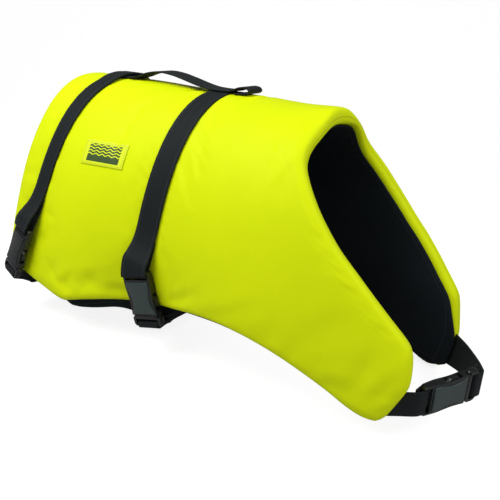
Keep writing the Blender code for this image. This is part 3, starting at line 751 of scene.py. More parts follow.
def hang_free(x, s, out):
    """Points on the saddle, save that cloth below the cover's hem falls almost straight down."""
    hem = curve_through(HEM_CUT, RIM_SAMPLES)
    side = np.where(s < 0, -1.0, 1.0)
    below = np.maximum(np.abs(s) - np.interp(x, hem[:, 0], hem[:, 1]), 0.0)
    on_hem = s - side * below
    base = saddle(x, on_hem, out)
    fall = base - saddle(x, on_hem - side, out)
    freed = (HANG_FREED * smooth_step(below / HANG_TURN))[:, None]
    fall = fall * (1 - freed) + np.array([0.0, 0.0, -1.0]) * freed
    fall /= np.linalg.norm(fall, axis=1)[:, None]
    return base + fall * below[:, None]


def lining_ease(x, s):
    """Slack in the lining, in mm: long shallow waves along the back and down the flanks."""
    flank = np.abs(s)
    swayed = x / WAVE_LONG_X + WAVE_SWAY * np.sin(flank / WAVE_SWAY_S)
    waves = WAVE_LONG * np.sin(swayed) * smooth_step(flank / WAVE_FROM)
    return waves + WAVE_SHORT * np.sin(flank / WAVE_SHORT_S + x / WAVE_SHORT_X)


def make_lining():
    """The dark inner cloth, a thin shell inside the padding."""
    lining = new_grid("lining_cloth", LINING_CELLS_LONG, LINING_CELLS_ROUND)
    rows_u = np.linspace(0, 1, LINING_CELLS_LONG + 1)
    rows_v = np.linspace(0, 1, LINING_CELLS_ROUND + 1)
    _, _, x, s = saddle_places(lining, lining_cut(NEAR_HANG), rows_u, rows_v)
    _, _, far_x, far_s = saddle_places(lining, lining_cut(FAR_HANG), rows_u, rows_v)
    x = np.where(s > 0, far_x, x)
    s = np.where(s > 0, far_s, s)
    rim = to_rim(x, s)
    eased = (LINING_EASE + lining_ease(x, s)) * smooth_step(rim / LINING_EASE_RUN)
    out = -PAD_WALL - SEAM_GAP - CHORD_ROOM - eased
    lay_uv(lining, np.stack([x, s], axis=1))
    write_measure(lining, "from_edge", rim)
    _, dip = shoulder_dips(x, s)
    move_points(lining, hang_free(x, s, out - dip))
    add_wall(lining, LINING_WALL, -1)
    lining.data.shade_smooth()
    return lining


# ---- webbing
Station = namedtuple("Station", "middle across bulge", defaults=(Vector(),))


def webbing(name, route, samples, width):
    """Woven webbing along a route of stations, its weave running with it.

    Across points over the width. It is a unit vector, longer where a cut is slanted.
    The bulge moves the webbing's middle line off the straight line between its edges.
    """
    rows = [tuple(station.middle) + tuple(station.across.normalized()) + tuple(station.bulge)
            + (station.across.length,) for station in route]
    rows = curve_through(rows, samples, WEB_BEND_SHARE)
    spread = rows[:, 9] * width / np.linalg.norm(rows[:, 3:6], axis=1)
    run = np.concatenate([[0], np.cumsum(np.linalg.norm(np.diff(rows[:, :3], axis=0), axis=1))])
    strip = new_grid(name, samples - 1, WEB_CELLS_ACROSS)
    i, j = grid_steps(strip, samples - 1, WEB_CELLS_ACROSS)
    v = j / WEB_CELLS_ACROSS
    over = rows[i, 3:6] * ((v - 0.5) * spread[i])[:, None]
    bulge = rows[i, 6:9] * (1 - (2 * v - 1) ** 2)[:, None]
    lay_uv(strip, np.stack([run[i], (v - 0.5) * width], axis=1))
    write_measure(strip, "from_edge", (0.5 - np.abs(v - 0.5)) * width)
    move_points(strip, rows[i, :3] + over + bulge)
    add_wall(strip, WEB_WALL, 0, WEB_EDGE)
    smooth_by_angle(strip, 60)
    return strip, run[-1]


Buckle = namedtuple("Buckle", "pose size")


def buckle_pose(start, along, outward):
    """A pose in mm whose Y runs from the socket's end to the prongs' end, Z facing out."""
    along = along.normalized()
    outward = (outward - along * outward.dot(along)).normalized()
    turn = Matrix((along.cross(outward), along, outward)).transposed().to_4x4()
    return Matrix.Translation(start) @ turn


def at_buckle(buckle, along, out):
    """A station at real distances along and out from the buckle's start."""
    return Station(buckle.pose @ Vector((0, along, out)), buckle.pose.to_3x3() @ Vector((1, 0, 0)))


def bar_places(buckle):
    """How far along the buckle the middles of its two end bars lie."""
    return BUCKLE_BAR / 2 * buckle.size, (BUCKLE_LENGTH - BUCKLE_BAR / 2) * buckle.size


def widened(station, spread):
    return Station(station.middle, station.across * spread, station.bulge)


def round_bar(buckle, bar, start, end, steps=7, loop=SNUG):
    """Stations for webbing round a bar, between two angles in degrees."""
    turn = []
    for i in range(steps + 1):
        angle = math.radians(start + (end - start) * i / steps)
        upper = max(math.sin(angle), 0.0)
        along = (BAR_TURN + loop.ease) * math.cos(angle)
        out = BAR_TURN * math.sin(angle) + loop.rise * upper ** 2
        spread = 1 + (loop.spread - 1) * float(smooth_step(upper))
        turn.append(widened(at_buckle(buckle, bar + along, out), spread))
    return turn


def girth_buckle(girth):
    x = girth.x - girth.slant * girth.bar_s
    forward, down, outward = saddle_frame(x, -girth.bar_s)
    start = on_saddle(x, -girth.bar_s, girth.bar_out)
    lean = math.radians(girth.lean)
    tilt = math.radians(girth.tilt)
    turn = math.radians(girth.turn)
    along = down * math.cos(lean) * math.cos(tilt) - outward * math.sin(lean) + forward * math.sin(tilt)
    face = outward * math.cos(turn) - forward * math.sin(turn)
    return Buckle(buckle_pose(start, along, face), girth.size)


def strap_station(girth, s, out):
    """A girth strap's station at s, its edges and middle all lying on the saddle."""
    ahead = 2.0 if s < 0 else -2.0
    x = girth.x - girth.slant * abs(s)
    forward, down, _ = saddle_frame(x, s)
    path = on_saddle(x, s) - on_saddle(girth.x - girth.slant * abs(s + ahead), s + ahead)
    if s < 0:
        path.negate()
    path.normalize()
    across = (path * forward.dot(path) - forward).normalized()
    step_x = across.dot(forward) * girth.web / 2
    step_s = across.dot(down) * girth.web / 2 * (1 if s >= 0 else -1)
    first = on_saddle(x - step_x, s - step_s, out)
    last = on_saddle(x + step_x, s + step_s, out)
    between = (first + last) / 2
    return Station(between, (last - first) / girth.web, on_saddle(x, s, out) - between)


def make_back_strap(girth, buckle):
    """Webbing sewn over the back. Its near end turns round the socket's bar."""
    bar = girth.bar_s
    high = girth.bar_out
    route = [strap_station(girth, step.back - bar, LIE + step.lift) for step in TAIL_UNDER]
    to_bar = TAIL_RISE.lift * (high - BAR_TURN - LIE)
    route.append(strap_station(girth, TAIL_RISE.back - bar, LIE + to_bar))
    route += round_bar(buckle, bar_places(buckle)[0], 265, 450, 9, LUMP)
    top = strap_station(girth, OVER_BAR_TOP.back - bar, high + BAR_TURN + OVER_BAR_TOP.lift)
    route.append(widened(top, OVER_BAR_TOP.spread))
    route += [widened(strap_station(girth, step.back - bar, LIE + step.lift), step.spread)
              for step in OVER_BAR]
    last = girth.hem_s - GIRTH_SEAM
    over_handle = OVER - LIE + HANDLE_ARCH if girth.x < 0 else 0
    for s in np.linspace(LAID_FROM - bar, last, LAID_STATIONS):
        lift = over_handle * float(smooth_step((HANDLE_SEWN + 10 - abs(s)) / 9))
        route.append(strap_station(girth, s, LIE + lift))
    return webbing(girth.name + "_back_webbing", route, BACK_ROWS, girth.web)


def make_belly_strap(girth, buckle):
    """The free run of the webbing, from the prongs' bar under the belly to the far flank."""
    bar = bar_places(buckle)[1]
    sewn = WEB_WALL + SEAM_GAP
    route = [at_buckle(buckle, bar + run.beyond - sewn, run.out) for run in RUN_IN]
    route += round_bar(buckle, bar, 200, -5, 8)
    route += [at_buckle(buckle, bar + run.beyond, run.out) for run in reversed(RUN_IN)]
    start = route[-1]
    top = strap_station(girth, girth.hem_s - GIRTH_SEAM + SEAM_GAP, LIE)
    hem = strap_station(girth, girth.hem_s + BELLY_PAST_HEM, LIE)
    under = Station(hem.middle + BELLY_DIP, hem.across)
    low = min(start.middle.z, under.middle.z) - BELLY_SAG
    for share in (0.25, 0.5, 0.75):
        middle = start.middle.lerp(under.middle, share)
        middle.z += (low - middle.z) * 4 * share * (1 - share)
        route.append(Station(middle, start.across.lerp(under.across, share).normalized()))
    route += [under, hem, top]
    return webbing(girth.name + "_belly_webbing", route, BELLY_ROWS, girth.web)


def make_handle():
    across = Vector((0, -1, 0))
    route = [Station(on_saddle(row.x, 0, row.height), across) for row in HANDLE_RISE]
    return webbing("handle_webbing", route, HANDLE_ROWS, HANDLE_WEB)


def chest_buckle():
    along = CHEST_FAR_BAR - CHEST_NEAR_BAR
    level = along.cross(Vector((0, 0, 1))).normalized()
    fall = math.radians(CHEST_FACE_FALL)
    face = level * math.cos(fall) - Vector((0, 0, math.sin(fall)))
    start = CHEST_NEAR_BAR - along.normalized() * BUCKLE_BAR / 2
    return Buckle(buckle_pose(start, along, face), 1.0)


def chest_seam(side, spread, higher=0.0):
    """The station of the webbing's end on the chamfer of one chest flap."""
    middle = -PAD_WALL / 2
    x = CHEST_SEAM_X + higher * CHEST_EDGE_SLOPE
    s = CHEST_SEAM_S - higher
    run = CHEST_EDGE_HALF * CHEST_EDGE_SLOPE
    upper = on_saddle(x + run, side * (s - CHEST_EDGE_HALF), middle)
    lower = on_saddle(x - run, side * (s + CHEST_EDGE_HALF), middle)
    seam = on_saddle(x - CHEST_SEAM_DEPTH, side * s, middle)
    return Station(seam, (lower - upper).normalized() * spread)


def make_chest_straps(buckle):
    """Two lengths of webbing from the seams of the chest flaps to the buckle's bars."""
    near_bar, far_bar = bar_places(buckle)
    across = at_buckle(buckle, 0, 0).across
    seam = chest_seam(-1, CHEST_SPREAD_NEAR)
    before_bar = at_buckle(buckle, near_bar + NEAR_BEFORE.beyond, NEAR_BEFORE.out)
    halfway = Station(seam.middle.lerp(before_bar.middle, 0.5), seam.across.lerp(across, 0.5))
    near = [seam, halfway, before_bar]
    near += round_bar(buckle, near_bar, 100, -90)
    near.append(at_buckle(buckle, near_bar + NEAR_AFTER.beyond, NEAR_AFTER.out))
    seam = chest_seam(1, CHEST_SPREAD_FAR, CHEST_HIGHER_FAR)
    apex = at_buckle(buckle, far_bar + FAR_APEX.beyond, FAR_APEX.out)
    far = [seam]
    for share, turned in ((0.3, 0.4), (0.7, 0.85)):
        middle = seam.middle.lerp(apex.middle, share) + Vector((CHEST_BOW, 0, 0))
        far.append(Station(middle, seam.across.lerp(across, turned)))
    far += [apex, at_buckle(buckle, far_bar + FAR_BEFORE.beyond, FAR_BEFORE.out)]
    far += round_bar(buckle, far_bar, 75, 270)
    far += [at_buckle(buckle, far_bar + run.beyond, run.out) for run in FAR_AFTER]
    return (webbing("chest_webbing_near", near, CHEST_ROWS[0], CHEST_WEB),
            webbing("chest_webbing_far", far, CHEST_ROWS[1], CHEST_WEB))


def make_label(cover):
    """A plain patch that lies on the swell of the cover."""
    patch = new_grid("label_patch", *LABEL_CELLS)
    i, j = grid_steps(patch, *LABEL_CELLS)
    u = i / LABEL_CELLS[0] - 0.5
    v = j / LABEL_CELLS[1] - 0.5
    x = LABEL_X + u * LABEL_LENGTH
    s = -(LABEL_S + v * LABEL_HEIGHT + (x - LABEL_X) * LABEL_TURN)
    lay_uv(patch, np.stack([u * LABEL_LENGTH, -v * LABEL_HEIGHT], axis=1))
    write_measure(patch, "from_edge", np.minimum((0.5 - np.abs(u)) * LABEL_LENGTH,
                                                 (0.5 - np.abs(v)) * LABEL_HEIGHT))
    move_points(patch, saddle(x, s, LIFT_CAP))
    lie = patch.modifiers.new("lie", "SHRINKWRAP")
    lie.target = cover
    lie.wrap_mode = "ABOVE_SURFACE"
    lie.offset = LABEL_LIE * MM
    apply_all(patch)
    add_wall(patch, LABEL_WALL, -1, LABEL_EDGE)
    smooth_by_angle(patch, 60)
    return patch


# ---- side-release buckles
def flat_form(name, half, wall, edge, segments):
    """A plate cut to a mirrored outline, given as (x, y) along its right half, in mm."""
    deselect()
    points = list(half) + [(-x, y) for x, y in reversed(half) if x > 0]
    curve = bpy.data.curves.new(name, "CURVE")
    curve.dimensions = "2D"
    curve.fill_mode = "BOTH"
    curve.extrude = wall / 2 * MM
    line = curve.splines.new("POLY")
    line.points.add(len(points) - 1)
    for knot, (x, y) in zip(line.points, points):
        knot.co = (x * MM, y * MM, 0, 1)
    line.use_cyclic_u = True
    select_only(new_object(name, curve))
    bpy.ops.object.convert(target="MESH")
    form = bpy.context.object
    edit_whole(form, (bpy.ops.mesh.remove_doubles, {"threshold": MERGE}),
               (bpy.ops.mesh.normals_make_consistent, {"inside": False}))
    round_edges(form, edge, segments, 50)
    return form


def box_form(name, low, high, edge=0.0):
    """A block between two corners in mm, with rounded edges where it is stock."""
    deselect()
    low = Vector(low) * MM
    high = Vector(high) * MM
    bpy.ops.mesh.primitive_cube_add(size=1, location=(low + high) / 2, scale=high - low)
    thing = bpy.context.object
    thing.name = name
    bpy.ops.object.transform_apply(location=True, rotation=True, scale=True)
    if edge:
        round_edges(thing, edge, 2, 50)
    return thing


def cut_or_join(thing, other, operation):
    step = thing.modifiers.new(operation.lower(), "BOOLEAN")
    step.operation = operation
    step.object = other
    apply_all(thing)
    bpy.data.objects.remove(other, do_unlink=True)


def open_end(form, end, inward):
    """Cuts the webbing slot at one end of a buckle half and thins its end bar."""
    slot_near = end + inward * BUCKLE_BAR
    slot_low, slot_high = sorted((slot_near, end + inward * (BUCKLE_BAR + SLOT_LENGTH)))
    bar_low, bar_high = sorted((end - inward, slot_near + inward))
    wide = SLOT_WIDTH / 2
    tall = BUCKLE_WALL
    thin = BUCKLE_BAR_WALL / 2
    for low, high in (((-wide, slot_low, -tall), (wide, slot_high, tall)),
                      ((-wide, bar_low, thin), (wide, bar_high, tall)),
                      ((-wide, bar_low, -tall), (wide, bar_high, -thin))):
        cut_or_join(form, box_form("cut", low, high), "DIFFERENCE")


def waist_line(stations, widths, start, end, steps):
    """(x, y) along the right side of a buckle, from a smooth column of half widths."""
    return [(float(smooth_column(stations, widths, y)), float(y)) for y in np.linspace(start, end, steps)]


def rounded_corner(edge, end, radius, inward):
    """(x, y) round the corner of a mirrored outline, from its side to its end."""
    return [(edge - radius * (1 - math.cos(turn)), end + inward * radius * (1 - math.sin(turn)))
            for turn in np.linspace(0, math.pi / 2, 6)]


def make_socket_form():
    """The half that holds the prongs: a flat sleeve with open sides, thinner at its bar."""
    edge = BUCKLE_WIDTH / 2 - SOCKET_NARROWER
    waist = BUCKLE_WAIST / 2
    side = waist_line((BUCKLE_CORNER, 10, 17, 22, 32, 41, 46.5),
                      (edge, edge, waist + 0.4, waist - 0.1, waist - 0.5, waist, waist + 0.6),
                      BUCKLE_CORNER, SOCKET_END, 26)
    corner = rounded_corner(edge, 0, BUCKLE_CORNER, 1)[:0:-1]
    form = flat_form("socket_form", corner + side, BUCKLE_WALL, 1.6, 4)
    for vert in form.data.vertices:
        vert.co.z *= 1 - SOCKET_TAPER * float(smooth_step(1 - vert.co.y / MM / SOCKET_TAPER_END))
    wide = CAVITY_WIDTH / 2
    tall = CAVITY_HEIGHT / 2
    for low, high in (((-wide, CAVITY_START, -tall), (wide, SOCKET_END + 1, tall)),
                      ((-edge - 1, WINDOW_START, -tall), (edge + 1, WINDOW_END, tall))):
        cut_or_join(form, box_form("cut", low, high), "DIFFERENCE")
    open_end(form, 0, 1)
    smooth_by_angle(form, 35)
    return form


def make_face_form():
    """The raised face of the socket, waisted like the sleeve below it."""
    half = FACE_WIDTH / 2
    side = waist_line((FACE_START, 18, 24, 31, 38, 43, 45.2),
                      (half + 0.6, half + 0.2, half - 1.4, half - 2.4, half - 1.2, half + 0.8, half + 1.6),
                      FACE_START, SOCKET_END - 1.3, 24)
    form = flat_form("face_form", side, 2.6, 0.8, 3)
    for vert in form.data.vertices:
        vert.co.z += (BUCKLE_WALL / 2 + FACE_RISE - 1.3) * MM
    smooth_by_angle(form, 35)
    return form


def make_prongs_form():
    """The half with two springy prongs, their grips and a guide, held in the socket."""
    edge = BUCKLE_WIDTH / 2
    inner = CAVITY_WIDTH / 2
    root = SOCKET_END + 0.4
    grip = waist_line((26.2, 29, 33, 37, 40), (12.2, 15.0, 15.5, 15.1, 13.0), 26.2, 40.0, 14)
    half = [(1.3, 23), (1.6, 25), (1.8, root + 2), (7.6, root + 2), (7.4, 28), (7.8, 24.6), (9.0, 22.8),
            (10.4, 22.9), (11.4, 24.4)] + grip + [
            (inner - 0.5, 40.8), (inner - 0.5, root + 1.5), (edge - 2, root + 1.5), (edge - 0.6, root + 2.4),
            (edge, root + 4)] + rounded_corner(edge, BUCKLE_LENGTH, BUCKLE_CORNER, -1)
    form = flat_form("prongs_form", half, CAVITY_HEIGHT - 0.8, 0.45, 2)
    tall = BUCKLE_WALL / 2
    wide = inner + 2.4
    cut_or_join(form, box_form("stock", (-wide, root, -tall), (wide, root + 4, tall), 1.0), "UNION")
    thick = [(edge - 0.4, root + 3)] + rounded_corner(edge - 0.4, BUCKLE_LENGTH - 0.3, BUCKLE_CORNER, -1)
    cut_or_join(form, flat_form("stock", thick, BUCKLE_WALL - 1.6, 1.1, 3), "UNION")
    open_end(form, BUCKLE_LENGTH, -1)
    ribs = []
    for side in (-1, 1):
        for y in np.linspace(30, 37, 5):
            reach = sorted((side * 14.4, side * 15.75))
            ribs.append(box_form("rib", (reach[0], y - 0.45, -1.9), (reach[1], y + 0.45, 1.9), 0.3))
    select_only(form, *ribs)
    bpy.ops.object.join()
    smooth_by_angle(form, 35)
    return form


def place_copy(form, name, buckle):
    """A copy of a buckle's form with its own mesh, set in its place on the jacket."""
    select_only(form)
    bpy.ops.object.duplicate(linked=False)
    copy = bpy.context.object
    copy.name = name
    copy.data.name = name
    metres = Matrix.Translation(buckle.pose.to_translation() * MM) @ buckle.pose.to_3x3().to_4x4()
    copy.data.transform(metres @ Matrix.Scale(buckle.size, 4))
    return copy


# ---- materials
class Nodes:
    """The nodes of one tree."""

    def __init__(self, tree):
        self.tree = tree

    def feed(self, socket, value):
        """Links an output to a socket, or sets the socket's own value."""
        if isinstance(value, bpy.types.NodeSocket):
            self.tree.links.new(value, socket)
        else:
            socket.default_value = value

    def add(self, kind, *values, **settings):
        """The outputs of a new node, with its settings, and values in its first inputs."""
        node = self.tree.nodes.new("ShaderNode" + kind)
        for name, value in settings.items():
            setattr(node, name, value)
        for socket, value in zip(node.inputs, values):
            self.feed(socket, value)
        return node.outputs

    def calc(self, operation, *values):
        return self.add("Math", *values, operation=operation)[0]

    def ramp(self, value, *ends):
        """A value stretched from its first two ends to the last two, or to 0 and 1."""
        return self.add("MapRange", value, *ends)["Result"]

    def off(self, value, middle):
        """How far a value lies from a middle one."""
        return self.calc("ABSOLUTE", self.calc("SUBTRACT", value, middle))

    def split(self, vector):
        return self.add("SeparateXYZ", vector)[:2]

    def attribute(self, name):
        return self.add("Attribute", attribute_name=name)["Fac"]


class Pattern(Nodes):
    """A shader node group under construction, with named inputs and one named output."""

    def __init__(self, name, output, **inputs):
        super().__init__(bpy.data.node_groups.new(name, "ShaderNodeTree"))
        sockets = self.tree.interface
        for label, value in inputs.items():
            kind = "NodeSocketVector" if value is None else "NodeSocketFloat"
            socket = sockets.new_socket(label.replace("_", " "), in_out="INPUT", socket_type=kind)
            if value is not None:
                socket.default_value = value
        sockets.new_socket(output, in_out="OUTPUT", socket_type="NodeSocketFloat")
        self.given = self.tree.nodes.new("NodeGroupInput").outputs[:len(inputs)]
        self.result = self.tree.nodes.new("NodeGroupOutput").inputs[0]


def make_plain_weave():
    """Plain weave over a UV in metres: crossing threads, one up and one down."""
    weave = Pattern("plain_weave", "Height", UV=None, Thread_mm=0.8)
    uv, thread = weave.given
    turns = weave.calc("DIVIDE", 1000.0 * math.pi, thread)
    warp, weft = (weave.calc("SINE", weave.calc("MULTIPLY", run, turns)) for run in weave.split(uv))
    crossed = weave.calc("MULTIPLY", warp, weft)
    weave.feed(weave.result, weave.calc("MULTIPLY_ADD", crossed, 0.5, 0.5))


def make_herringbone():
    """Webbing's weave over a UV in metres along and across it: slanted ribs in columns."""
    weave = Pattern("herringbone", "Height", UV=None, Rib_mm=1.5, Column_mm=4.0)
    calc = weave.calc
    uv, rib_length, column_width = weave.given
    u, v = (calc("MULTIPLY", run, 1000.0) for run in weave.split(uv))
    wave = calc("DIVIDE", calc("ADD", u, calc("PINGPONG", v, column_width)), rib_length)
    rib = calc("SINE", calc("MULTIPLY", wave, 2 * math.pi))
    thread = calc("SINE", calc("MULTIPLY", v, 2 * math.pi / 0.7))
    mixed = calc("MULTIPLY_ADD", thread, 0.25, rib)
    weave.feed(weave.result, calc("MULTIPLY_ADD", mixed, 0.4, 0.5))


def make_stitch_row():
    """A row of stitches where a distance is near a line: mask over length along it."""
    row = Pattern("stitch_row", "Mask", Along_m=0.0, Distance_mm=0.0, Line_mm=2.2, Stitch_mm=3.2)
    along, distance, line, stitch = row.given
    near = row.ramp(row.off(distance, line), 0.22, 0.5, 1.0, 0.0)
    count = row.calc("DIVIDE", row.calc("MULTIPLY", along, 1000.0), stitch)
    dash = row.ramp(row.off(row.calc("FRACT", count), 0.5), 0.33, 0.40, 1.0, 0.0)
    row.feed(row.result, row.calc("MULTIPLY", near, dash))


def make_mottle():
    """Soft uneven tone over Object coordinates, from 0 to 1."""
    mottle = Pattern("mottle", "Tone", Object=None, Scale=14.0)
    noise = mottle.tree.nodes.new("ShaderNodeTexNoise")
    for label, value in zip(("Vector", "Scale", "Detail"), (*mottle.given, 3.0)):
        mottle.feed(noise.inputs[label], value)
    mottle.feed(mottle.result, mottle.ramp(noise.outputs["Fac"], 0.3, 0.7))


class Finish(Nodes):
    """A material under construction: its shader and usual coordinates."""

    def __init__(self, name, colour, roughness, specular):
        self.material = bpy.data.materials.new(name)
        self.material.use_nodes = True
        self.material.diffuse_color = colour
        super().__init__(self.material.node_tree)
        self.shader = self.tree.nodes["Principled BSDF"]
        self.set("Base Color", colour)
        self.set("Roughness", roughness)
        self.set("Specular IOR Level", specular)
        places = self.add("TexCoord")
        self.uv = places["UV"]
        self.object = places["Object"]

    def set(self, socket, value):
        self.feed(self.shader.inputs[socket], value)

    def pattern(self, name, **inputs):
        node = self.tree.nodes.new("ShaderNodeGroup")
        node.node_tree = bpy.data.node_groups[name]
        for label, value in inputs.items():
            self.feed(node.inputs[label.replace("_", " ")], value)
        return node.outputs[0]

    def mottle(self, scale):
        return self.pattern("mottle", Object=self.object, Scale=scale)

    def weave(self, thread):
        return self.pattern("plain_weave", UV=self.uv, Thread_mm=thread)

    def stitches(self, along, line):
        return self.pattern("stitch_row", Along_m=along, Distance_mm=self.attribute("from_edge"),
                            Line_mm=line, Stitch_mm=3.4)

    def mix(self, factor, first, second):
        """One colour where the factor is 0, another where it is 1."""
        node = self.tree.nodes.new("ShaderNodeMix")
        node.data_type = "RGBA"
        for place, value in ((0, factor), (6, first), (7, second)):
            self.feed(node.inputs[place], value)
        return node.outputs[2]

    def bump(self, height, distance, strength):
        node = self.tree.nodes.new("ShaderNodeBump")
        for label, value in (("Strength", strength), ("Distance", distance * MM), ("Height", height)):
            self.feed(node.inputs[label], value)
        self.set("Normal", node.outputs["Normal"])


COVER_BRIGHT = (0.725, 0.85, 0.003, 1)
COVER_DEEP = (0.675, 0.80, 0.0025, 1)
# The next tone is painted shade: the cover's yellow darkened in the seam's groove along the rim.
COVER_SEAM_SHADE = (0.48, 0.53, 0.004, 1)
LINING_TONE = (0.0075, 0.0103, 0.0128, 1)
LINING_WORN = (0.012, 0.0165, 0.0195, 1)
WEB_TONE = (0.004, 0.0056, 0.0066, 1)
# The next tone is a painted highlight, lighter where the webbing's ribs stand up.
WEB_RIB_HIGHLIGHT = (0.012, 0.0165, 0.018, 1)
WEB_STITCH = (0.03, 0.035, 0.042, 1)
PLASTIC_TONE = (0.0045, 0.0055, 0.007, 1)
# The next tone is a painted reflection: the buckles' raised faces are made lighter grey-green to stand in for
# the softboxes seen in them.
PLATE_REFLECTION_TONE = (0.028, 0.045, 0.044, 1)
PRINT_TONE = (0.035, 0.075, 0.012, 1)


def make_cover_finish():
    """Bright coated cloth: fine weave, a soft sheen, and a seam along the rolled rim, pressed in and darkened
    there with painted shade.
    """
    finish = Finish("cover_cloth", COVER_BRIGHT, 0.52, 0.07)
    cloth = finish.mix(finish.mottle(11.0), COVER_BRIGHT, COVER_DEEP)
    # Painted shade: the cover's yellow is darkened along the seam's groove at the rim, where the bump also
    # presses it in.
    seam = finish.ramp(finish.attribute("from_seam"), 0.15, 0.9, 0.8, 0.0)
    finish.set("Base Color", finish.mix(seam, cloth, COVER_SEAM_SHADE))
    fine = finish.mottle(90.0)
    lumps = finish.calc("MULTIPLY_ADD", fine, 1.4, finish.weave(0.9))
    finish.bump(finish.calc("MULTIPLY_ADD", seam, -3.0, lumps), 0.09, 0.6)
    finish.set("Roughness", finish.ramp(fine, 0.0, 1.0, 0.46, 0.58))
    return finish.material


def make_lining_finish():
    finish = Finish("lining_cloth", LINING_TONE, 0.85, 0.08)
    finish.set("Sheen Weight", 0.02)
    cloth = finish.mix(finish.mottle(9.0), LINING_TONE, LINING_WORN)
    stitch = finish.stitches(finish.calc("ADD", *finish.split(finish.uv)), 9.0)
    finish.set("Base Color", finish.mix(stitch, cloth, WEB_STITCH))
    finish.bump(finish.calc("MULTIPLY_ADD", stitch, 2.0, finish.weave(1.0)), 0.12, 0.6)
    return finish.material


def make_webbing_finish(name, sewn):
    finish = Finish(name, WEB_TONE, 0.6, 0.15)
    finish.set("Sheen Weight", 0.03)
    finish.set("Sheen Roughness", 0.4)
    height = finish.pattern("herringbone", UV=finish.uv, Rib_mm=1.5, Column_mm=4.2)
    # Painted highlight: the webbing is lighter on the raised ribs of its weave.
    cloth = finish.mix(height, WEB_TONE, WEB_RIB_HIGHLIGHT)
    if sewn:
        stitch = finish.stitches(finish.split(finish.uv)[0], 2.3)
        cloth = finish.mix(stitch, cloth, WEB_STITCH)
        height = finish.calc("MULTIPLY_ADD", stitch, 1.2, height)
    finish.set("Base Color", cloth)
    finish.bump(height, 0.22, 0.7)
    return finish.material


def make_plastic_finish(name, tone, roughness):
    finish = Finish(name, tone, roughness, 0.5)
    grain = finish.mottle(900.0)
    finish.bump(grain, 0.02, 0.35)
    finish.set("Roughness", finish.ramp(grain, 0.0, 1.0, roughness - 0.05, roughness + 0.07))
    return finish.material


def make_patch_finish():
    """Cloth patch with a dashed frame and a plain printed block of waves over a bar."""
    finish = Finish("patch_cloth", COVER_BRIGHT, 0.55, 0.35)
    calc = finish.calc
    ramp = finish.ramp
    x, y = (calc("MULTIPLY", run, 1000.0) for run in finish.split(finish.uv))
    block = calc("MULTIPLY", ramp(calc("ABSOLUTE", x), 19.8, 20.3, 1.0, 0.0),
                 ramp(calc("ABSOLUTE", y), 8.9, 9.4, 1.0, 0.0))
    wave = calc("SINE", calc("MULTIPLY", x, 2 * math.pi / 8.0))
    level = calc("DIVIDE", calc("MULTIPLY_ADD", wave, 0.75, y), 3.1)
    gap = ramp(finish.off(calc("FRACT", level), 0.5), 0.14, 0.22, 1.0, 0.0)
    upper = ramp(y, -3.6, -3.2, 0.0, 1.0)
    printed = calc("MULTIPLY", block, calc("SUBTRACT", 1.0, calc("MULTIPLY", gap, upper)))
    frame_line = ramp(finish.off(finish.attribute("from_edge"), 1.5), 0.2, 0.45, 0.5, 0.0)
    run = calc("MULTIPLY", calc("ADD", x, y), 0.45)
    dashed = calc("MULTIPLY", frame_line, ramp(calc("FRACT", run), 0.55, 0.65, 1.0, 0.0))
    ink = calc("MAXIMUM", printed, dashed)
    finish.set("Base Color", finish.mix(ink, COVER_BRIGHT, PRINT_TONE))
    finish.bump(calc("MULTIPLY_ADD", ink, -0.5, finish.weave(0.8)), 0.07, 0.6)
    return finish.material


# ---- camera and light
def make_camera():
    a = math.radians(CAMERA_TURN)
    e = math.radians(CAMERA_RISE)
    back = Vector((math.sin(a) * math.cos(e), -math.cos(a) * math.cos(e), math.sin(e)))
    camera = new_object("camera", bpy.data.cameras.new("camera"))
    camera.data.sensor_width = SENSOR
    camera.data.lens = FOCAL_PIXELS * SENSOR / IMAGE_SIDE
    camera.data.clip_start = 0.02
    camera.data.clip_end = 60.0
    camera.location = (CAMERA_TARGET + back * CAMERA_REACH) * MM
    aim = (-back).to_track_quat("-Z", "Y")
    roll = Matrix.Rotation(math.radians(CAMERA_ROLL), 3, "Z")
    camera.rotation_mode = "QUATERNION"
    camera.rotation_quaternion = (aim.to_matrix() @ roll).to_quaternion()
    bpy.context.scene.camera = camera


def add_softbox(name, place, aim, size, power):
    light = new_object(name, bpy.data.lights.new(name, "AREA"))
    light.data.shape = "RECTANGLE"
    light.data.size, light.data.size_y = size
    light.data.energy = power
    light.location = place
    light.rotation_mode = "QUATERNION"
    light.rotation_quaternion = (Vector(aim) - Vector(place)).to_track_quat("-Z", "Y")


def see_through_back(finish):
    """Hides a surface from behind, so that the jacket can be seen from below its floor."""
    behind = finish.add("NewGeometry")["Backfacing"]
    clear = finish.add("BsdfTransparent")[0]
    mixed = finish.add("MixShader", behind, finish.shader.outputs[0], clear)[0]
    finish.feed(finish.tree.nodes["Material Output"].inputs["Surface"], mixed)


